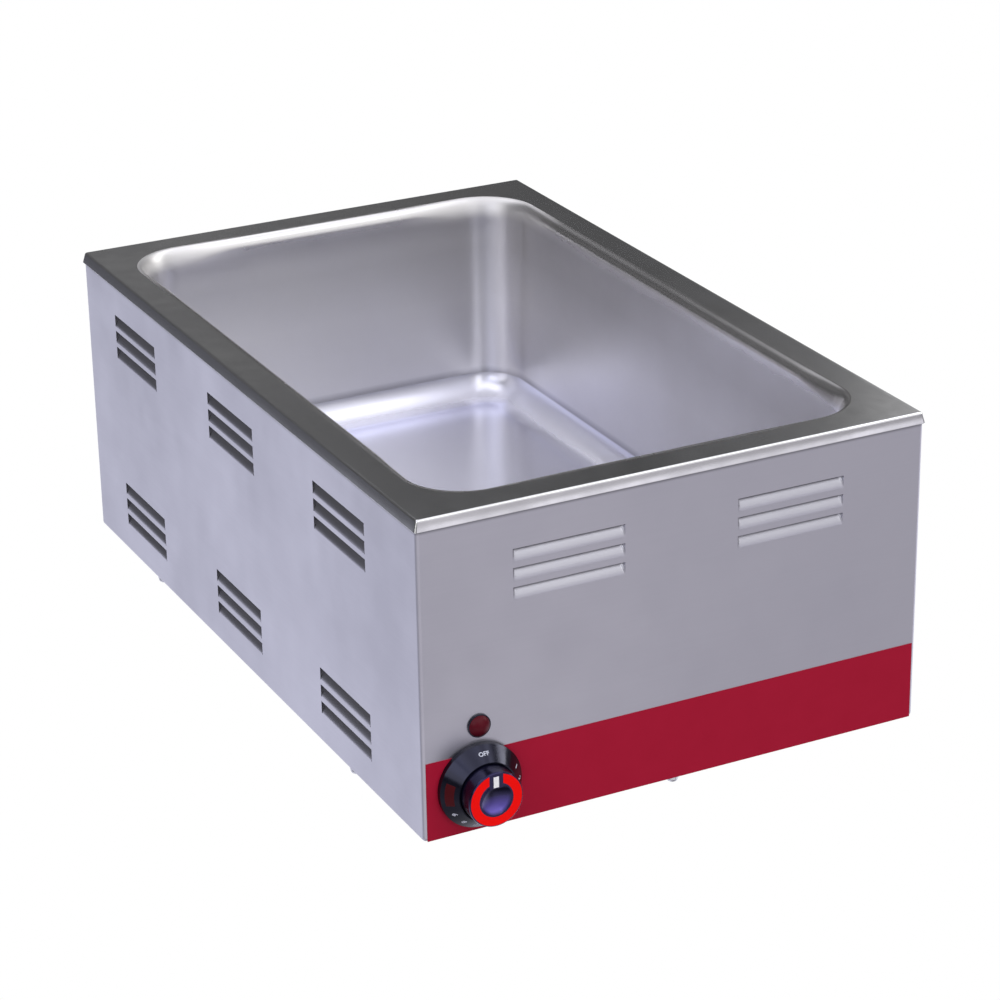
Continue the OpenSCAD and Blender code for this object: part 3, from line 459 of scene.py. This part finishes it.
def spangled_zinc(name, light, dark, roughness):
    """Galvanised sheet with its crystal spangle."""
    material, w, shader, where = start_finish(name)
    cells = w.node("ShaderNodeTexVoronoi", {"Vector": where, "Scale": 160.0})
    shade = w.node("ShaderNodeSeparateColor", {"Color": cells.outputs["Color"]}).outputs[0]
    marks = use_group(w, MARKS, Place=where, Clouds=6.0)
    tone = w.weigh(shade, 0.7, marks["Mask"])
    w.feed(w.blend(tone, solid(light), solid(dark)), shader.inputs["Base Color"])
    w.feed(w.spread(shade, 0.0, 1.0, *roughness), shader.inputs["Roughness"])
    shader.inputs["Metallic"].default_value = 1.0
    raise_surface(w, shader, w.times(shade, 2e-5))
    return material


def glass_wool(name, light, dark, roughness):
    """Matted fibres of the insulation."""
    material, w, shader, where = start_finish(name)
    fibres = w.noise(where, 420.0, detail=6.0, roughness=0.8)
    w.feed(w.blend(fibres, solid(light), solid(dark)), shader.inputs["Base Color"])
    shader.inputs["Roughness"].default_value = roughness
    raise_surface(w, shader, w.times(fibres, 8e-4))
    return material


# ---- finishes of this warmer ----
PANEL_GRAIN = (9.0, 9.0, 1100.0)
PLAIN, PAINTED_LIP_SHADE = (1.0, 1.0, 1.0), (0.45, 0.45, 0.45)
# Painted light and shade down the well, as shares of the colour by height. The floor and the sweep are painted
# brighter and bluer for the light they catch, the crease is painted dark as the shade in it, and the upper walls
# are painted darker.
FLOOR_PAINTED_LIGHT, SWEEP_PAINTED_LIGHT, CREASE_PAINTED_SHADE = (1.12, 1.15, 1.34), (1.04, 1.06, 1.20), (0.60, 0.60, 0.63)
WELL_LOOK = {
    "light": (0.79, 0.778, 0.777), "dark": (0.69, 0.678, 0.677), "stretch": (60.0, 60.0, 60.0),
    "roughness": (0.36, 0.44), "swell": 0.0, "contrast": 0.3,
    "painted_light": ((0.0680, FLOOR_PAINTED_LIGHT), (0.0690, FLOOR_PAINTED_LIGHT), (0.0710, SWEEP_PAINTED_LIGHT), (0.0860, SWEEP_PAINTED_LIGHT),
              (0.0872, CREASE_PAINTED_SHADE), (0.0925, (0.985, 0.985, 1.005)), (0.1500, (0.95, 0.95, 0.955)),
              (0.1900, (0.79, 0.79, 0.795)), (0.2150, (0.80, 0.80, 0.805)), (0.2220, PLAIN))}
# Just under and inside the lip the case's colour is painted darker: a painted shadow of the lip.
CASE_STEEL = brushed_steel("case_steel", (0.56, 0.555, 0.61), (0.47, 0.465, 0.52), PANEL_GRAIN, (0.34, 0.42),
                           painted_light=((0.0, PLAIN), (0.2194, PLAIN), (0.2212, PAINTED_LIP_SHADE), (0.23, PAINTED_LIP_SHADE)))
# A near-black steel for the end walls of the side louvres: painted shade in the louvres' recesses.
LOUVRE_END_SHADE = brushed_steel("louvre_end_shade", (0.10, 0.10, 0.11), (0.07, 0.07, 0.08), PANEL_GRAIN, (0.50, 0.60))
RIM_STEEL = brushed_steel("rim_steel", (0.99, 0.99, 0.995), (0.47, 0.47, 0.475), (400.0, 12.0, 20.0),
                          (0.15, 0.25), clouds=13.0, lines=4e-7, contrast=0.06)
WELL_STEEL = brushed_steel("well_steel", polishes=((0.068, 0.60), (0.072, 0.72), (0.087, 0.80)), **WELL_LOOK)
WALL_STEEL = brushed_steel("wall_steel", polishes=((0.087, 0.80), (0.095, 1.0), (0.20, 1.0), (0.2215, 0.66)),
                           drawn=0.5, corner_haze=1.0, **WELL_LOOK)
# The knob's dish is painted purple-blue in its lower half: a painted highlight of the light the hollow reflects.
KNOB_GLOSS = moulding("knob_gloss", (0.004, 0.004, 0.012), (0.002, 0.002, 0.008), (0.18, 0.22), 600.0, 1e-5,
                      gloss=0.8, tint=(0.45, 0.40, 1.0), dish_highlight=(0.0109, (0.15, 0.115, 0.46)))
DIAL_PRINT = moulding("dial_print", (0.62, 0.64, 0.72), (0.52, 0.54, 0.62), (0.5, 0.6), peel=3e-6, gloss=0.2)
DIAL_RED = moulding("dial_red", (0.070, 0.003, 0.006), (0.050, 0.002, 0.004), (0.4, 0.5), peel=3e-6, gloss=0.1)
FINISHES = {
    "case_steel": CASE_STEEL,
    "well_steel": WELL_STEEL,
    "galvanised_steel": spangled_zinc("galvanised_steel", (0.50, 0.52, 0.55), (0.33, 0.35, 0.38), (0.34, 0.55)),
    "glass_wool": glass_wool("glass_wool", (0.80, 0.72, 0.42), (0.52, 0.44, 0.20), 0.95),
    "red_strip": moulding("red_strip", (0.395, 0.0072, 0.033), (0.36, 0.0062, 0.028), (0.45, 0.52), 500.0, 4e-6,
                          gloss=0.09),
    "foot_rubber": moulding("foot_rubber", (0.030, 0.030, 0.032), (0.014, 0.014, 0.015), (0.62, 0.8), 700.0,
                            6e-5, gloss=0.3),
    "switch_plastic": moulding("switch_plastic", (0.78, 0.75, 0.66), (0.7, 0.66, 0.57), (0.45, 0.6)),
    "black_plastic": moulding("black_plastic", (0.004, 0.004, 0.008), (0.002, 0.002, 0.005), (0.16, 0.22),
                              600.0, 1e-5, gloss=0.42, tint=(0.66, 0.68, 1.0), low_gloss=0.2),
    "red_ring": moulding("red_ring", (1.0, 0.003, 0.001), (0.92, 0.002, 0.001), (0.35, 0.42), 800.0, 1e-5,
                         gloss=0.08),
    "white_mark": moulding("white_mark", (0.93, 0.93, 0.93), (0.84, 0.84, 0.85), (0.4, 0.5), 800.0, 1e-5,
                           gloss=0.3),
    "lamp_red": moulding("lamp_red", (0.095, 0.0035, 0.011), (0.070, 0.0025, 0.008), (0.32, 0.40), 300.0, 1e-5,
                         gloss=0.12),
}
SMALL_METALS = {
    "plated_screws": ((0.66, 0.66, 0.68), (0.5, 0.5, 0.52), (0.2, 0.34)),
    "element_sheath": ((0.13, 0.12, 0.12), (0.06, 0.055, 0.055), (0.5, 0.65)),
    "reflector_sheet": ((0.85, 0.85, 0.87), (0.74, 0.74, 0.77), (0.12, 0.24)),
    "copper": ((0.78, 0.40, 0.24), (0.55, 0.25, 0.14), (0.22, 0.4)),
    "terminal_brass": ((0.78, 0.62, 0.32), (0.6, 0.46, 0.2), (0.25, 0.4)),
}
LEADS = {
    "lead_brown": ((0.22, 0.09, 0.035), (0.15, 0.06, 0.02)),
    "lead_black": ((0.03, 0.03, 0.03), (0.015, 0.015, 0.015)),
    "lead_blue": ((0.05, 0.16, 0.58), (0.03, 0.11, 0.45)),
    "lead_red": ((0.58, 0.03, 0.04), (0.42, 0.02, 0.03)),
    "lead_green": ((0.32, 0.52, 0.05), (0.22, 0.4, 0.03)),
}
FINISHES |= {metal: small_metal(metal, *look) for metal, look in SMALL_METALS.items()}
FINISHES |= {lead: moulding(lead, light, dark, (0.5, 0.6)) for lead, (light, dark) in LEADS.items()}

slot_of = {row["node"]: row["material_slot"] for row in frame["record"]["subparts"]}
for node_name, node in frame["nodes"].items():
    for material_slot in node.material_slots:
        material_slot.material = KNOB_GLOSS if node_name == "knob_body" else FINISHES[slot_of[node_name]]


# ---- the drawn well and its rim, one sheet ----
def lip_out(z, leans):
    """How far the lip stands out at a height: a flank whose lean grows, then the arc to the flat rim."""
    low_lean, high_lean = leans
    low, centre = TOP_Z - LIP_H + SHEET / 2, TOP_Z - EDGE_R
    lean = math.radians(high_lean)
    shoulder = centre + EDGE_R * math.sin(lean)

    def flank(height):
        rise = (height - low) / LEAN_STEPS
        angles = [low_lean + (high_lean - low_lean) * (i + 0.5) * rise / (shoulder - low)
                  for i in range(LEAN_STEPS)]
        return EDGE_R - sum(rise * math.tan(math.radians(angle)) for angle in angles)

    if z <= shoulder:
        return flank(z)
    return flank(shoulder) + math.sqrt(max(0.0, EDGE_R ** 2 - (z - centre) ** 2)) - EDGE_R * math.cos(lean)


def lip_ring(z, inward=0.0):
    """The ring of the lip at a height, its ends and its sides leaning differently."""
    side, end = lip_out(z, SIDE_LEANS) - inward, lip_out(z, END_LEANS) - inward
    share = (end - lip_out(TOP_Z, END_LEANS)) / (EDGE_R - lip_out(TOP_Z, END_LEANS))
    corner = max(LEAST_CORNER, TOP_CORNER + (FOOT_CORNER - TOP_CORNER) * share)
    return rounded_ring(RIM_X + side - corner, RIM_Y + end - corner, corner, z)


def moved_to(ring, z):
    """The same ring at another height."""
    return [(x, y, z) for x, y, _ in ring]


def well_ring(r, share, rise, sheet=0.0):
    """One ring of the well. On the bend rise goes from 0 to 1 up to the rim; on the wall share goes from 0
    to 1 down to the sweep. The bend reaches further down at the corners, where the sheet was drawn most."""
    ring = []
    for x, y, _ in rounded_ring(MOUTH_X, MOUTH_Y, r, 0.0):
        along = max(0.0, max(MOUTH_X - abs(x), MOUTH_Y - abs(y)))
        near = 0.5 + 0.5 * math.cos(math.pi * min(1.0, along / FLARE_REACH))
        bend = BEND_H + (FLARE_H - BEND_H) * near - sheet
        start = TOP_Z - sheet - bend
        ring.append((x, y, start + bend * rise if share == 0 else start + (SWEEP_TOP - start) * share))
    return ring


def drawn_well():
    """Rings from the lip's foot over the rim and down the well to its floor, and back along the underside."""
    rim_skin, well_skin, wall_skin = 0, 1, 2
    foot, shoulder = TOP_Z - LIP_H + SHEET / 2, TOP_Z - EDGE_R
    heights = [foot + (shoulder - foot) * i / FLANK_STEPS for i in range(1, FLANK_STEPS)]
    heights += [z for _, z in arc((0.0, shoulder), EDGE_R, 0, 90, steps=16)]
    upper = [moved_to(lip_ring(foot, SHEET / 2 - inset), z)
             for inset, z in arc((0.0, foot), SHEET / 2, 180, 360, steps=24)]
    upper += [lip_ring(z) for z in heights]
    upper.append(lip_ring(TOP_Z, RIM_INSET))
    rim_rings = len(upper)
    upper.append(rounded_ring(MOUTH_X, MOUTH_Y, MOUTH_R + BEND_R + MOUTH_MARGIN, TOP_Z))
    for share, rise in arc((0.0, 0.0), 1.0, 90, 180, steps=34):
        upper.append(well_ring(MOUTH_R + BEND_R * (1 + share), 0, rise))
    sweep = arc((SWEEP_START, FLOOR_Z + SWEEP_R), SWEEP_R, -CREASE, -90, steps=20)
    for i in range(1, WALL_STEPS):
        r = MOUTH_R + (sweep[0][0] - MOUTH_R) * i / WALL_STEPS
        upper.append(well_ring(r, i / WALL_STEPS, 0))
    wall_rings = len(upper)
    for r, z in sweep + [(SWEEP_START - FLOOR_INSET, FLOOR_Z)]:
        upper.append(rounded_ring(MOUTH_X, MOUTH_Y, r, z))

    outer_sweep = arc((SWEEP_START, FLOOR_Z + SWEEP_R), SWEEP_R + SHEET, -90, -CREASE, steps=10)
    under = [rounded_ring(MOUTH_X, MOUTH_Y, r, z)
             for r, z in [(SWEEP_START - FLOOR_INSET, FLOOR_Z - SHEET)] + outer_sweep]
    for share, rise in arc((0.0, 0.0), 1.0, 180, 90, steps=12):
        under.append(well_ring(MOUTH_R + SHEET + (BEND_R - SHEET) * (1 + share), 0, rise, SHEET))
    for z in [TOP_Z - down for down in INSIDE_LIP] + [foot]:
        under.append(moved_to(lip_ring(z, SHEET), min(z, TOP_Z - SHEET)))

    shape = Shape()
    for i, (ring, following) in enumerate(zip(upper, upper[1:])):
        shape.band(ring, following, rim_skin if i < rim_rings else wall_skin if i < wall_rings else well_skin)
    for ring, following in zip(under, under[1:]):
        shape.band(ring, following, well_skin)
    shape.face(upper[-1], well_skin)
    shape.face(under[0], well_skin)
    shape.finish("drawn_well", [RIM_STEEL, WELL_STEEL, WALL_STEEL], "well_steel", crease=9.0,
                 stands_for=("well_pan",))


# ---- the folded case with its pressed louvres ----
def louvre_columns(group, centres):
    """Points across a group's louvres, each with how deep the louvre is there and with the group's name."""
    end = LOUVRE_ENDS[group]
    end_steps = [end * share for share in END_SHARES]
    middle = [LOUVRE_L * k / MIDDLE_STEPS for k in range(1, MIDDLE_STEPS)]
    window = end_steps + middle + [LOUVRE_L - e for e in reversed(end_steps)]
    near = [min(u, LOUVRE_L - u, end) / end for u in window]
    deep = [math.sqrt(max(0.0, 1.0 - (1.0 - share) ** 2)) for share in near]
    return [(centre - LOUVRE_L / 2 + u, d, group) for centre in centres for u, d in zip(window, deep)]


def case_plan():
    """Points along the outside of the wrap from its back left flange round the front to the right one.
    Each has its place, its inward direction and, inside a louvre group, how deep the louvre is there."""
    back_line = BACK_Y - SHEET
    x = CASE_W / 2
    plan = [((FLANGE - x, back_line), (0, -1), 0, "")]
    fold = [math.radians(90 * i / FOLD_STEPS) for i in range(FOLD_STEPS + 1)]
    for t in fold:
        at = (-x + CORNER_R - CORNER_R * math.sin(t), back_line - CORNER_R + CORNER_R * math.cos(t))
        plan.append((at, (math.sin(t), -math.cos(t)), 0, ""))
    for y, d, group in reversed(louvre_columns("side", SIDE_COLUMNS)):
        plan.append(((-x, y), (1, 0), d, group))
    for t in fold:
        at = (-x + CORNER_R - CORNER_R * math.cos(t), FRONT_Y + CORNER_R - CORNER_R * math.sin(t))
        plan.append((at, (math.cos(t), math.sin(t)), 0, ""))
    left = plan[:]
    for across, d, group in louvre_columns("front", FRONT_COLUMNS):
        plan.append(((across, FRONT_Y), (0, 1), d, group))
    for (px, py), (nx, ny), d, group in reversed(left):
        plan.append(((-px, py), (-nx, ny), d, group))
    return plan


def case_levels():
    """Heights of the wrap's rows, and for each group the louvre that covers a row, if any."""
    tops = {"side": [row - i * SIDE_PITCH for row in SIDE_ROWS for i in range(LOUVRES)],
            "front": [row - i * FRONT_PITCH for row in FRONT_ROWS for i in range(LOUVRES)]}
    heights = {STAND_Z + BOTTOM_FOLD_R, TOP_Z - LIP_H + CASE_IN_LIP}
    for group in tops.values():
        for top in group:
            heights |= {round(top - LOUVRE_H + rise, SAME_LEVEL) for rise in RAMP_ROWS}
    return sorted(heights), tops


def ramp_depth(rise):
    """How far a louvre's ramp has gone in at a height above its foot, where it leaves the panel gently."""
    shares = [(i + 0.5) / RAMP_STEPS * rise / LOUVRE_H for i in range(RAMP_STEPS)]
    leans = [RAMP_LEAN * share ** RAMP_POWER for share in shares]
    return sum(math.tan(math.radians(lean)) for lean in leans) * rise / RAMP_STEPS


def folded_case():
    """The panels with their louvres, then the flange turned in underneath."""
    panel_skin, end_shade_skin = 0, 1
    shape = Shape()
    plan, (levels, tops) = case_plan(), case_levels()

    def louvre_over(group, low, high):
        for top in tops.get(group, ()):
            if low >= top - LOUVRE_H - TOLERANCE and high <= top + TOLERANCE:
                return top
        return None

    def point(column, z, top=None):
        (px, py), (nx, ny), share, _ = column
        depth = 0.0 if top is None else share * ramp_depth(z - top + LOUVRE_H)
        return (px + nx * depth, py + ny * depth, z)

    for a, b in zip(plan, plan[1:]):
        group = a[3] if a[3] == b[3] and math.dist(a[0], b[0]) < SAME_LOUVRE else ""
        for low, high in zip(levels, levels[1:]):
            top = louvre_over(group, low, high) if group else None
            # The end walls of the side louvres take the dark steel of painted shade.
            at_end = top is not None and group == "side" and a[2] != b[2]
            shape.face((point(a, low, top), point(b, low, top), point(b, high, top), point(a, high, top)),
                       end_shade_skin if at_end else panel_skin)

    inner_x, inner_y = CASE_W / 2 - FLANGE, CASE_D / 2 - FLANGE
    fold = [(BOTTOM_FOLD_R * (1 - math.cos(math.radians(t))), BOTTOM_FOLD_R * math.sin(math.radians(t)))
            for t in (0, 30, 60, 90)]
    for a, b in zip(plan[1:], plan[2:-1]):
        strips = []
        for (px, py), (nx, ny), _, _ in (a, b):
            strip = [(px + nx * step, py + ny * step, levels[0] - drop) for step, drop in fold]
            strip.append((max(-inner_x, min(inner_x, px)),
                          max(-inner_y, min(BACK_Y - BACK_CLEARANCE, py)), STAND_Z))
            strips.append(strip)
        for i in range(len(fold)):
            shape.face((strips[0][i], strips[1][i], strips[1][i + 1], strips[0][i + 1]))
    piece = shape.finish("folded_case", [CASE_STEEL, LOUVRE_END_SHADE], "case_steel", stands_for=("body_wrap",))
    sheet = piece.modifiers.new("sheet", "SOLIDIFY")
    sheet.thickness, sheet.offset = SHEET * MM, -1.0
    settle(piece, crease=30.0)
    keep_flats(piece)


# ---- the dial's printing ----
def on_dial(angle, r, lift):
    """A point above the dial's face: angle is clockwise from the top, seen from the front."""
    share = (DIAL_EDGE_R - r) / (DIAL_EDGE_R - DIAL_TOP_R)
    out = DIAL_EDGE + share * (DIAL_OUT - DIAL_EDGE)
    t = math.radians(angle)
    return (DIAL_X + r * math.sin(t), FRONT_Y - out - lift, DIAL_Z + r * math.cos(t))


def dial_word(shape, text, angle, size):
    """Adds the text to the shape, wrapped round the dial's cone with its foot towards the knob."""
    letters = bpy.data.curves.new("letters", "FONT")
    letters.body, letters.size, letters.extrude = text, size, LETTER_DEPTH
    letters.align_x, letters.align_y, letters.offset = "CENTER", "CENTER", LETTER_WEIGHT * size
    letters.resolution_u = 3
    temporary = add_object("letters", letters)
    flat = final_mesh(temporary)
    slope = math.hypot(1.0, (DIAL_OUT - DIAL_EDGE) / (DIAL_EDGE_R - DIAL_TOP_R))
    placed = [on_dial(angle + math.degrees(v.co.x / PRINT_R), PRINT_R + v.co.y / slope, v.co.z + LETTER_LIFT)
              for v in flat.vertices]
    for polygon in flat.polygons:
        shape.face([placed[v] for v in polygon.vertices])
    bpy.data.objects.remove(temporary)
    bpy.data.meshes.remove(flat)
    bpy.data.curves.remove(letters)


def dial_printing():
    """OFF at the top, then generic numbers, and the warm band as a thin closed patch of ink."""
    words = Shape()
    dial_word(words, "OFF", 0.0, OFF_SIZE)
    for i in range(NUMBERS):
        dial_word(words, str(i + 1), FIRST_NUMBER + NUMBER_TURN * i, NUMBER_SIZE)
    words.finish("dial_numbers", [DIAL_PRINT], "white_mark")

    warm = Shape()
    (low, high), (under, over) = WARM_R, WARM_LIFTS
    turns = [WARM_START + WARM_TURN * i / WARM_STEPS for i in range(WARM_STEPS + 1)]
    for a, b in zip(turns, turns[1:]):
        for lift in (under, over):
            warm.face((on_dial(a, low, lift), on_dial(b, low, lift), on_dial(b, high, lift),
                       on_dial(a, high, lift)))
        for r in (low, high):
            warm.face((on_dial(a, r, under), on_dial(b, r, under), on_dial(b, r, over), on_dial(a, r, over)))
    for a in (turns[0], turns[-1]):
        warm.face((on_dial(a, low, under), on_dial(a, high, under), on_dial(a, high, over),
                   on_dial(a, low, over)))
    warm.finish("dial_warm_band", [DIAL_RED], "red_strip")


def soften(node_name, width):
    """Rounds the sharp edges of a node of the frame."""
    bevel = frame["nodes"][node_name].modifiers.new("soft_edges", "BEVEL")
    bevel.width, bevel.segments = width * MM, 3
    bevel.limit_method, bevel.angle_limit = "ANGLE", math.radians(35.0)
    bevel.harden_normals = True


drawn_well()
folded_case()
dial_printing()
soften("knob_ring", 0.25)
soften("knob_pointer", 0.15)


# ---- the studio ----
FLOOR_REACH = 14.0
WHITE = (1.0, 1.0, 1.0, 1.0)
TABLE_FRONT, TABLE_BACK = (0.74, 0.72, 0.77, 1.0), (0.965, 0.975, 1.125, 1.0)
# What the steel mirrors above the horizon, from level at 0 to straight up at 1.
OVERHEAD = (
    (0.0, (0.062, 0.062, 0.065)), (0.18, (0.062, 0.062, 0.065)), (0.295, (0.125, 0.124, 0.125)),
    (0.345, (0.145, 0.145, 0.146)), (0.385, (0.075, 0.075, 0.077)), (0.62, (0.080, 0.080, 0.083)),
    (0.73, (1.05, 1.05, 1.10)), (0.81, (1.42, 1.42, 1.50)), (0.90, (1.42, 1.42, 1.50)),
    (0.955, (0.66, 0.66, 0.69)), (1.0, (0.60, 0.60, 0.63)))
# Soft boxes: name, place, point they are turned to, width and height, radiance, colour.
SOFT_BOXES = (
    ("front_box_low", (0.87, -1.97, 0.32), (0.0, -0.28, 0.2), (1.7, 0.64), 0.68, (1.0, 0.98, 1.08)),
    ("front_box_high", (0.90, -1.82, 1.40), (0.0, -0.28, 0.2), (1.7, 1.6), 0.97, (1.0, 1.0, 1.0)),
    ("left_wall", (-1.50, -0.80, 0.80), (0.0, 0.0, 0.2), (1.3, 0.9), 1.9, (1.0, 1.0, 1.0)),
    ("front_left", (-0.55, -1.60, 1.25), (0.1, 0.1, 0.2), (1.4, 1.4), 0.42, (1.0, 1.0, 1.0)),
    ("front_strip", (-0.08, -1.85, 1.10), (0.05, 0.2, 0.2), (0.30, 1.3), 2.2, (1.0, 1.0, 1.0)),
    ("left_blue", (-1.30, -1.15, 1.20), (-0.144, -0.29, 0.04), (1.0, 0.9), 0.6, (0.72, 0.78, 1.15)),
    ("right_box", (2.1, -0.30, 1.15), (0.0, 0.0, 0.2), (0.8, 0.9), 6.0, (1.0, 1.0, 0.97)),
    ("back_right_glow", (1.76, 1.57, 1.0), (0.0, 0.0, 0.2), (0.6, 1.0), 0.30, (1.0, 1.0, 1.0)))


def studio_floor():
    """A white table that only the camera sees, and not from below."""
    mesh = bpy.data.meshes.new("studio_floor")
    corners = [(x * FLOOR_REACH, y * FLOOR_REACH, 0) for x, y in ((-1, -1), (1, -1), (1, 1), (-1, 1))]
    mesh.from_pydata(corners, [], [(0, 1, 2, 3)])
    floor = add_object("studio_floor", mesh)
    floor.visible_diffuse = floor.visible_glossy = floor.visible_transmission = False
    material = bpy.data.materials.new("table_white")
    w = fresh_wiring(material)
    white = w.node("ShaderNodeEmission", {"Color": WHITE, "Strength": 1.0})
    clear = w.node("ShaderNodeBsdfTransparent")
    below = w.node("ShaderNodeNewGeometry").outputs["Backfacing"]
    w.node("ShaderNodeOutputMaterial", {"Surface": w.blend_shaders(below, white, clear)})
    mesh.materials.append(material)


def studio_light(name, at, towards, size, radiance, colour):
    """A soft box of a given size, turned to a point and as bright as the radiance says. The camera doesn't
    see it."""
    light = bpy.data.lights.new(name, "AREA")
    light.shape, light.size, light.size_y = "RECTANGLE", size[0], size[1]
    light.energy, light.color = radiance * math.pi * size[0] * size[1], colour
    lamp = add_object(name, light)
    lamp.location = at
    lamp.rotation_mode = "QUATERNION"
    lamp.rotation_quaternion = (Vector(towards) - Vector(at)).to_track_quat("-Z", "Y")
    lamp.visible_camera = False


def table_glow(w, x, y, z):
    """What the steel mirrors below the horizon, in direction x, y, z: a lit table. Behind the case it is cool
    and fades soon. Ahead it is dark close by, bright beyond that and dimmer at the right, with a bright patch
    right beside the case. Straight to the left it is half as bright."""
    back = w.spread(y, -0.35, 0.05, 0.0, 1.0)
    colour = w.blend(back, TABLE_FRONT, TABLE_BACK)
    back_reach = w.spread(z, -0.29, -0.18, 1.0, 0.10)
    front_reach = w.times(w.spread(z, -0.46, -0.39, 1.0, 0.82), w.spread(z, -0.28, -0.16, 1.0, 0.72))
    reach = w.plus(w.times(back, back_reach), w.times(w.minus(1.0, back), front_reach))
    front_share = w.times(w.spread(x, 0.36, 0.54, 1.37, 0.63), w.spread(z, -0.85, -0.55, 0.06, 1.0))
    share = w.blend(back, front_share, WHITE)
    right = w.times(w.spread(x, 0.60, 0.75, 0.0, 1.6), w.spread(y, 0.05, -0.15, 0.0, 1.0))
    beside = w.plus(1.0, w.times(right, w.spread(z, -0.25, -0.32, 0.0, 1.0)))
    left = w.spread(x, -0.82, -0.72, 0.50, 1.0)
    return w.scaled(colour, w.times(w.times(reach, share), w.times(beside, left)))


def sky_glow(w, direction, x, z):
    """What the steel mirrors above the horizon: slightly uneven light, overhead alike on all sides, and lower
    down brighter just right of the middle and far right, with a dim gap between the two."""
    sides = w.times(w.spread(x, -0.05, 0.2, 0.8, 1.0), w.spread(x, 0.32, 0.45, 1.42, 0.66))
    sides = w.plus(sides, w.spread(x, 0.475, 0.525, 0.0, 1.1))
    sides = w.math("MAXIMUM", sides, w.spread(z, 0.45, 0.65, 0.0, 1.0))
    clouds = w.spread(w.noise(direction, 3.4, detail=1.0), 0.35, 0.65, 0.88, 1.12)
    return w.scaled(w.ramp(z, OVERHEAD), w.times(sides, clouds))


def studio_world():
    """The surroundings that the steel mirrors. The camera itself sees plain white."""
    world = bpy.data.worlds.new("studio")
    bpy.context.scene.world = world
    w = fresh_wiring(world)
    direction = w.node("ShaderNodeTexCoord").outputs["Generated"]
    x, y, z = w.parts(direction)
    above = w.spread(z, -0.01, 0.01, 0.0, 1.0)
    colour = w.blend(above, table_glow(w, x, y, z), sky_glow(w, direction, x, z))
    mirrored = w.node("ShaderNodeBackground", {"Color": colour, "Strength": 1.0})
    backdrop = w.node("ShaderNodeBackground", {"Color": WHITE, "Strength": 1.0})
    seen = w.node("ShaderNodeLightPath").outputs["Is Camera Ray"]
    w.node("ShaderNodeOutputWorld", {"Surface": w.blend_shaders(seen, mirrored, backdrop)})


def photo_camera():
    """The camera that a fit to the photograph gave."""
    lens = bpy.data.cameras.new("photo_camera")
    lens.sensor_width, lens.lens = 36.0, 115.15
    lens.clip_start, lens.clip_end = 0.05, 60.0
    camera = add_object("photo_camera", lens)
    right = Vector((0.89075502, -0.45423664, -0.01498571))
    down = Vector((-0.19155523, -0.34532892, -0.91872441))
    forward = Vector((0.41214329, 0.82122897, -0.39461487))
    turned = Matrix((right, -down, -forward)).transposed().to_4x4()
    camera.matrix_world = Matrix.Translation((-0.92751, -1.87572, 0.99934)) @ turned
    bpy.context.scene.camera = camera


studio_floor()
studio_world()
for soft_box in SOFT_BOXES:
    studio_light(*soft_box)
photo_camera()
bpy.context.scene.view_settings.view_transform = "Standard"
bpy.context.scene.view_settings.look = "None"
